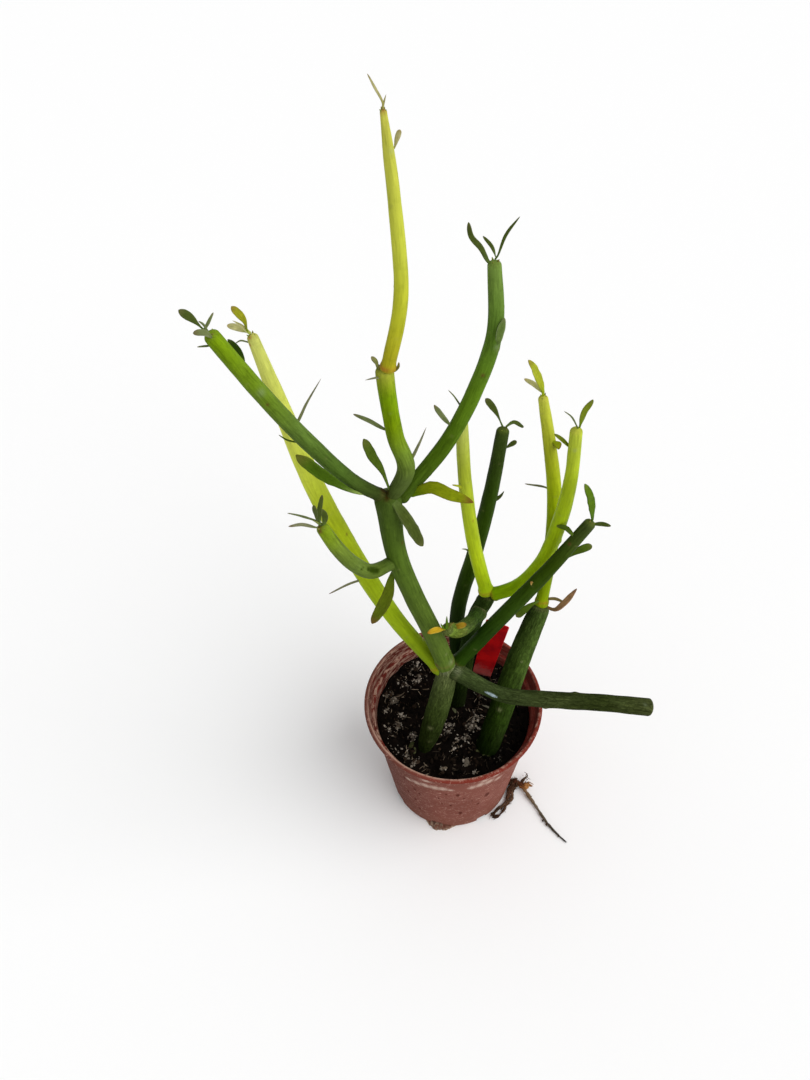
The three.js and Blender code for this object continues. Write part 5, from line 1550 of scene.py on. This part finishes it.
class EUPHORBIA_OT_leaves(bpy.types.Operator):
    """Makes the leaves and the buds at the tips, one piece for each stem"""
    bl_idname = "euphorbia.leaves"
    bl_label = "Leaves"
    bl_options = {"REGISTER", "UNDO"}

    def execute(self, context):
        plant = context.scene.euphorbia.plant
        for k, (name, stem) in enumerate(STEMS.items()):
            made = stem_leaves(name, plant.leaf_thickness * 1000, plant.leaf_roll, 100 + k * 11)
            if made:
                make_piece(name + "_leaves", made[0], skin_finish("leaf"), name, made[1])
        return {"FINISHED"}


class EUPHORBIA_OT_pot(bpy.types.Operator):
    """Makes the thin plastic pot with its band, lip and drain slots"""
    bl_idname = "euphorbia.pot"
    bl_label = "Pot"
    bl_options = {"REGISTER", "UNDO"}

    def execute(self, context):
        pot = context.scene.euphorbia.pot
        made = make_piece("moulded_pot", pot_skin(pot.ridge * 1000, pot.out_of_round * 1000),
                          pot_material(pot.outside, pot.lip, pot.lime), "pot", {})
        cut_slots(made)
        set_marks(made.data, pot_marks(corners_of(made.data)))
        return {"FINISHED"}


class EUPHORBIA_OT_soil(bpy.types.Operator):
    """Makes the peat in the pot and the crumbs, grit and shreds that lie on it"""
    bl_idname = "euphorbia.soil"
    bl_label = "Soil"
    bl_options = {"REGISTER", "UNDO"}

    def execute(self, context):
        ground = context.scene.euphorbia.ground
        peat = earth_material("loose peat", ground.dust, 0.02, 0.4)
        skin, marks = soil_skin(ground.lumps * 1000)
        make_piece("peat_bed", skin, peat, "soil", marks)
        skin, tint = soil_litter(ground.crumbs, ground.shreds)
        litter = earth_material("crumbs and grit", ground.dust, 0.0, 0.12)
        make_piece("peat_litter", skin, litter, "soil", {"tint": tint})
        return {"FINISHED"}


class EUPHORBIA_OT_crust(bpy.types.Operator):
    """Makes the dried plug of soil at the front drain slot"""
    bl_idname = "euphorbia.crust"
    bl_label = "Dried crust"
    bl_options = {"REGISTER", "UNDO"}

    def execute(self, context):
        ground = context.scene.euphorbia.ground
        skin, tint = crust_skin()
        crust = earth_material("dried crust", ground.crust_dust, 0.25, 0.3)
        make_piece("dried_crust", skin, crust, "soil_crust", {"tint": tint})
        return {"FINISHED"}


class EUPHORBIA_OT_root(bpy.types.Operator):
    """Makes the dried root that grew out of a drain slot"""
    bl_idname = "euphorbia.root"
    bl_label = "Escaped root"
    bl_options = {"REGISTER", "UNDO"}

    def execute(self, context):
        skin, marks = root_skin(context.scene.euphorbia.ground.hairs)
        make_piece("dried_root", skin, skin_finish("root"), "escaped_root", marks)
        return {"FINISHED"}


class EUPHORBIA_OT_label(bpy.types.Operator):
    """Makes the bare red plant label"""
    bl_idname = "euphorbia.label"
    bl_label = "Plant label"
    bl_options = {"REGISTER", "UNDO"}

    def execute(self, context):
        label = context.scene.euphorbia.label
        skin, marks = label_skin(label.bow * 1000, label.corner * 1000)
        make_piece("red_label", skin, label_material(label.red), "plant_label", marks)
        return {"FINISHED"}


FLOOR_REACH = 6.0  # metres from its middle to each side
LIGHT_WAY = (-0.62, 0.3, -0.73)  # the way the window light travels
CAMERA_PLACE = (-0.0217, -0.2557, 0.5233)  # metres
CAMERA_DOWN, CAMERA_ROLL = math.radians(50.84), math.radians(-1.85)
SENSOR, NEAR = 36, 0.01  # millimetres, metres


class EUPHORBIA_OT_stage(bpy.types.Operator):
    """Makes the pale floor, the soft lights and the camera"""
    bl_idname = "euphorbia.stage"
    bl_label = "Floor, lights and camera"
    bl_options = {"REGISTER", "UNDO"}

    def execute(self, context):
        stage, scene = context.scene.euphorbia.stage, context.scene
        made, tree, shader = new_material("pale floor", Roughness=0.85, Specular_IOR_Level=0.2)
        shader["Base Color"].default_value = stage.floor
        mesh = bpy.data.meshes.new("pale_floor")
        corners = [(x * FLOOR_REACH, y * FLOOR_REACH, 0) for x, y in ((-1, -1), (1, -1), (1, 1), (-1, 1))]
        mesh.from_pydata(corners, [], [(0, 1, 2, 3)])
        mesh.materials.append(made)
        floor = bpy.data.objects.new("pale_floor", mesh)
        scene.collection.objects.link(floor)

        world = scene.world or bpy.data.worlds.new("soft sky")
        scene.world = world
        world.use_nodes = True
        sky = world.node_tree.nodes["Background"].inputs
        sky["Color"].default_value, sky["Strength"].default_value = (1, 1, 1, 1), stage.sky
        light = bpy.data.lights.new("soft window light", "SUN")
        light.energy, light.angle = stage.key, stage.width
        lamp = bpy.data.objects.new("soft window light", light)
        lamp.matrix_world = Vector(LIGHT_WAY).to_track_quat("-Z", "Y").to_matrix().to_4x4()
        scene.collection.objects.link(lamp)

        camera = bpy.data.cameras.new("camera")
        camera.lens, camera.sensor_width, camera.clip_start = stage.lens, SENSOR, NEAR
        eye = bpy.data.objects.new("camera", camera)
        ahead = Vector((0, math.cos(CAMERA_DOWN), -math.sin(CAMERA_DOWN)))
        level = Vector((1, 0, 0))
        right = math.cos(CAMERA_ROLL) * level + math.sin(CAMERA_ROLL) * level.cross(ahead)
        turn = Matrix((right, right.cross(ahead), -ahead)).transposed().to_4x4()
        eye.matrix_world = Matrix.Translation(CAMERA_PLACE) @ turn
        scene.collection.objects.link(eye)
        scene.camera = eye
        scene.view_settings.view_transform = "Standard"
        return {"FINISHED"}


class EUPHORBIA_PT_sidebar(bpy.types.Panel):
    """The plant's pieces, in the order they are made."""
    bl_label = "Potted Euphorbia"
    bl_idname = "EUPHORBIA_PT_sidebar"
    bl_space_type = "VIEW_3D"
    bl_region_type = "UI"
    bl_category = "Euphorbia"

    def draw(self, context):
        settings = context.scene.euphorbia
        for operator, group in PIECES:
            box = self.layout.box()
            box.operator(operator.bl_idname)
            chosen = getattr(settings, group)
            for key in chosen.__annotations__:
                box.prop(chosen, key)


PIECES = [
    (EUPHORBIA_OT_pot, "pot"), (EUPHORBIA_OT_soil, "ground"), (EUPHORBIA_OT_crust, "ground"),
    (EUPHORBIA_OT_root, "ground"), (EUPHORBIA_OT_label, "label"), (EUPHORBIA_OT_stems, "plant"),
    (EUPHORBIA_OT_leaves, "plant"), (EUPHORBIA_OT_stage, "stage"),
]
GROUPS = [EUPHORBIA_PG_pot, EUPHORBIA_PG_ground, EUPHORBIA_PG_label, EUPHORBIA_PG_plant, EUPHORBIA_PG_stage,
          EUPHORBIA_PG_all]
CLASSES = [*GROUPS, *(operator for operator, _ in PIECES), EUPHORBIA_PT_sidebar]


def register():
    """Makes the settings, operators and panel known."""
    for made in CLASSES:
        bpy.utils.register_class(made)
    bpy.types.Scene.euphorbia = bpy.props.PointerProperty(type=EUPHORBIA_PG_all)


def unregister():
    """Takes them out again."""
    del bpy.types.Scene.euphorbia
    for made in reversed(CLASSES):
        bpy.utils.unregister_class(made)


def main():
    """Registers the add-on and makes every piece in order."""
    register()
    for operator, _ in PIECES:
        group, call = operator.bl_idname.split(".")
        getattr(getattr(bpy.ops, group), call)()


if __name__ == "__main__":
    main()
